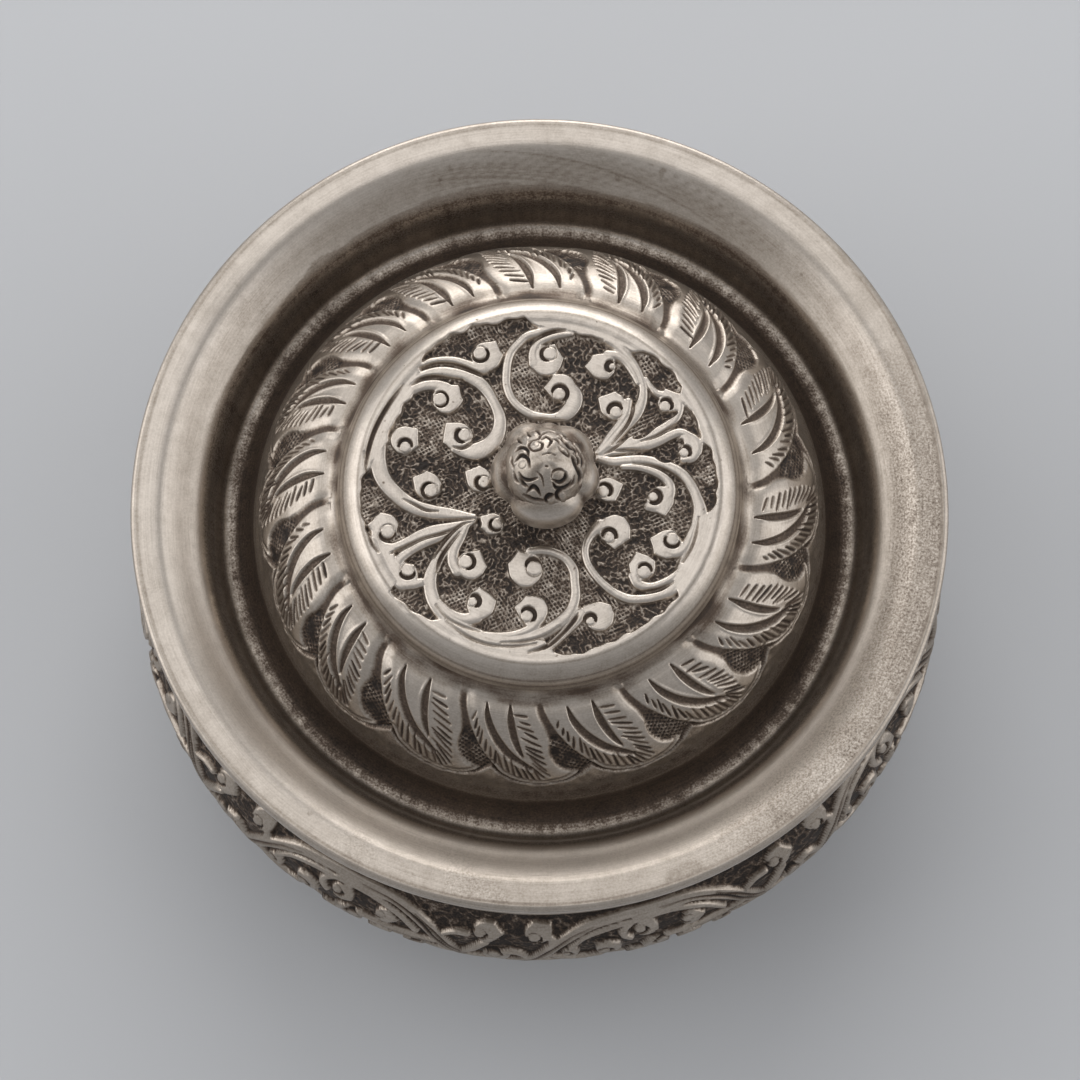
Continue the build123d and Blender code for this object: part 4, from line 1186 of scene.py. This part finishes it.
def silverMaterial(name, worked):
    # silver raised and chased by hand, then worn: pale on the crests, sulphide-dark where no finger reaches;
    # the darkness laid on each point also holds painted shade and painted highlight
    material, tree = startMaterial(name)
    place = addNode(tree, "TexCoord").outputs["Object"]
    noises = []
    for key, detail, roughness in (("cloud", 3, .5), ("mottle", 4, .6), ("grain", 3, .65)):
        noises.append(addNode(tree, "TexNoise", inputs={
            "Vector": place, "Scale": perMetre(silver[key]), "Detail": detail, "Roughness": roughness}))
    cloud, mottle, grain = noises
    film = addNode(tree, "Math", {"operation": "MULTIPLY_ADD"},
                   {0: mottle, 1: silver["mottleFilm"], 2: silver["rubbed"]})
    film = addNode(tree, "Math", {"operation": "MULTIPLY_ADD"}, {0: cloud, 1: silver["cloudFilm"], 2: film})
    if worked:
        # darkness laid on each point: patina, with painted shade and painted highlight where the lid and bowl
        # are given them
        patinaAndShade = addNode(tree, "Attribute", {"attribute_name": "patinaAndShade"})
        film = addNode(tree, "Math", {"operation": "ADD"}, {0: film, 1: patinaAndShade.outputs["Fac"]})
    # fine lines left by turning and rubbing, running round the box
    parts = addNode(tree, "SeparateXYZ", inputs={"Vector": place})
    flat = addNode(tree, "CombineXYZ", inputs={"X": parts.outputs["X"], "Y": parts.outputs["Y"]})
    radius = addNode(tree, "VectorMath", {"operation": "LENGTH"}, {0: flat})
    angle = addNode(tree, "Math", {"operation": "ARCTAN2"}, {0: parts.outputs["Y"], 1: parts.outputs["X"]})
    rubs = perMetre(silver["rubbing"])
    across = addNode(tree, "Math", {"operation": "MULTIPLY"}, {0: radius.outputs["Value"], 1: rubs})
    along = addNode(tree, "Math", {"operation": "MULTIPLY"}, {0: angle, 1: 5})
    upward = addNode(tree, "Math", {"operation": "MULTIPLY"}, {0: parts.outputs["Z"], 1: rubs})
    turned = addNode(tree, "CombineXYZ", inputs={"X": across, "Y": along, "Z": upward})
    lines = addNode(tree, "TexNoise", inputs={"Vector": turned, "Scale": 1, "Detail": 2})
    film = addNode(tree, "Math", {"operation": "MULTIPLY_ADD"}, {0: lines, 1: silver["rubbingFilm"], 2: film})
    # grain shows most where the film is half rubbed away, and where the metal is punched or etched
    left = addNode(tree, "Math", {"operation": "SUBTRACT", "use_clamp": True}, {0: 1.0, 1: film})
    half = addNode(tree, "Math", {"operation": "MULTIPLY"}, {0: left, 1: film})
    amount = addNode(tree, "Math", {"operation": "MULTIPLY_ADD"}, {0: half, 1: 1.2, 2: .1})
    if worked:
        grit = addNode(tree, "Attribute", {"attribute_name": "grit"})
        amount = addNode(tree, "Math", {"operation": "ADD"}, {0: amount, 1: grit.outputs["Fac"]})
    off = addNode(tree, "Math", {"operation": "SUBTRACT"}, {0: grain, 1: .5})
    film = addNode(tree, "Math", {"operation": "MULTIPLY_ADD", "use_clamp": True},
                   {0: off, 1: amount, 2: film})
    ramp = addNode(tree, "ValToRGB", inputs={"Fac": film})
    bare, grey, brown = silver["ramp"]
    ramp.color_ramp.elements[0].position = bare
    ramp.color_ramp.elements[0].color = linear(silver["bare"])
    ramp.color_ramp.elements[1].position = 1.0
    ramp.color_ramp.elements[1].color = linear(silver["black"])
    for position, key in ((grey, "grey"), (brown, "brown")):
        ramp.color_ramp.elements.new(position).color = linear(silver[key])
    smooth, matt = silver["rough"]
    metal = addNode(tree, "MapRange", inputs={
        "Value": film, "From Min": .4, "From Max": .95, "To Min": 1, "To Max": silver["filmMetal"]})
    rough = addNode(tree, "MapRange", inputs={
        "Value": film, "From Min": .1, "From Max": .9, "To Min": smooth, "To Max": matt})
    bump = addNode(tree, "Bump", inputs={"Strength": .25, "Distance": .05 * mm, "Height": grain})
    for strength, deep, source in ((.22, .04, lines), (.2, .12, mottle)):
        bump = addNode(tree, "Bump", inputs={
            "Strength": strength, "Distance": deep * mm, "Height": source, "Normal": bump})
    shader = addNode(tree, "BsdfPrincipled", inputs={
        "Base Color": ramp.outputs["Color"], "Metallic": metal, "Roughness": rough, "Normal": bump})
    addNode(tree, "OutputMaterial", inputs={"Surface": shader})
    return material


def turnedBrass():
    # brass turned and left dull: yellow metal under a thin brown film
    material, tree = startMaterial("turnedBrass")
    place = addNode(tree, "TexCoord").outputs["Object"]
    film = addNode(tree, "TexNoise", inputs={"Vector": place, "Scale": perMetre(1.5), "Detail": 4})
    ramp = addNode(tree, "ValToRGB", inputs={"Fac": film})
    for element, position, colour in zip(ramp.color_ramp.elements, (.3, .75), ("#C9A65C", "#8A6C3A")):
        element.position, element.color = position, linear(colour)
    rough = addNode(tree, "MapRange", inputs={"Value": film, "To Min": .3, "To Max": .5})
    bump = addNode(tree, "Bump", inputs={"Strength": .2, "Distance": .03 * mm, "Height": film})
    shader = addNode(tree, "BsdfPrincipled", inputs={
        "Base Color": ramp.outputs["Color"], "Metallic": 1, "Roughness": rough, "Normal": bump})
    addNode(tree, "OutputMaterial", inputs={"Surface": shader})
    return material


chased = silverMaterial("chasedSilver", True)
plain = silverMaterial("plainSatinSilver", False)
brass = turnedBrass()


def dress(piece, material):
    piece.data.materials.clear()
    piece.data.materials.append(material)


for piece, body, node, slot in (
        (lidPiece, "lid", "lid_shell", "chased_silver"), (bowlPiece, "box", "body_shell", "chased_silver"),
        (budPiece, "lid", "knob_bud", "chased_silver"), (lobePiece, "lid", "knob_petals", "plain_silver")):
    dress(piece, chased)
    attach(piece, body)
    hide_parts(node)
for name in ("body_mouth_wire", "foot_ring", "foot_edge_wire", "lid_bezel", "knob_neck"):
    dress(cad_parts[name], plain)
for name in ("knob_stud", "knob_washer", "knob_nut"):
    dress(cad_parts[name], brass)
print("materials laid on")


# Stage: pale floor, plain soft light, and the camera where the photograph was taken
stage = {
    "floor": "#C3C4C6",
    "floorSize": 12.0,
    "world": .42,
    "tilt": 14.06,              # degrees between the view and the vertical
    "distance": .9,
    "lens": 204.7,
    "aim": (.00007, -.00468, .060),     # right, up across the view, and the rim's height, in metres
    # place, size, watts
    "lamps": {"overBox": ((-.1, .35, 1.2), .75, 1.7), "behind": ((0, 1.3, .5), 1.2, 12.0),
              "leftBox": ((-1.2, .2, .7), 1.4, 9.0), "rightBox": ((1.2, .1, .6), 1.4, 6.5)},
}


def paleFloor():
    # seamless paper: matt, nearly even
    material, tree = startMaterial("seamlessPaper")
    place = addNode(tree, "TexCoord").outputs["Object"]
    fibre = addNode(tree, "TexNoise", inputs={"Vector": place, "Scale": perMetre(1.2), "Detail": 3})
    bump = addNode(tree, "Bump", inputs={"Strength": .05, "Distance": .05 * mm, "Height": fibre})
    shader = addNode(tree, "BsdfPrincipled", inputs={
        "Base Color": linear(stage["floor"]), "Roughness": .8, "Normal": bump})
    addNode(tree, "OutputMaterial", inputs={"Surface": shader})
    return material


mesh = bpy.data.meshes.new("floor")
half = stage["floorSize"] / 2
mesh.from_pydata([(-half, -half, 0), (half, -half, 0), (half, half, 0), (-half, half, 0)], [], [(0, 1, 2, 3)])
floor = putIn("floor", mesh)
dress(floor, paleFloor())

world = bpy.data.worlds.new("studio")
bpy.context.scene.world = world
world.use_nodes = True
world.node_tree.nodes["Background"].inputs["Color"].default_value = linear("#F4F6FA")
world.node_tree.nodes["Background"].inputs["Strength"].default_value = stage["world"]
for name, (place, size, watts) in stage["lamps"].items():
    lamp = bpy.data.lights.new(name, "AREA")
    lamp.size, lamp.energy = size, watts
    holder = putIn(name, lamp)
    holder.location = place
    toBox = Vector((0, 0, rimHeight * mm)) - Vector(place)
    holder.rotation_euler = toBox.to_track_quat("-Z", "Y").to_euler()

tilt = radians(stage["tilt"])
right, up, height = stage["aim"]
aim = Vector((right, up * cos(tilt), height + up * sin(tilt)))
camera = putIn("camera", bpy.data.cameras.new("camera"))
camera.data.lens, camera.data.sensor_width = stage["lens"], 36
camera.location = aim + stage["distance"] * Vector((0, -sin(tilt), cos(tilt)))
camera.rotation_euler = (tilt, 0, 0)
bpy.context.scene.camera = camera
bpy.context.scene.view_settings.view_transform = "Standard"
print("stage set")
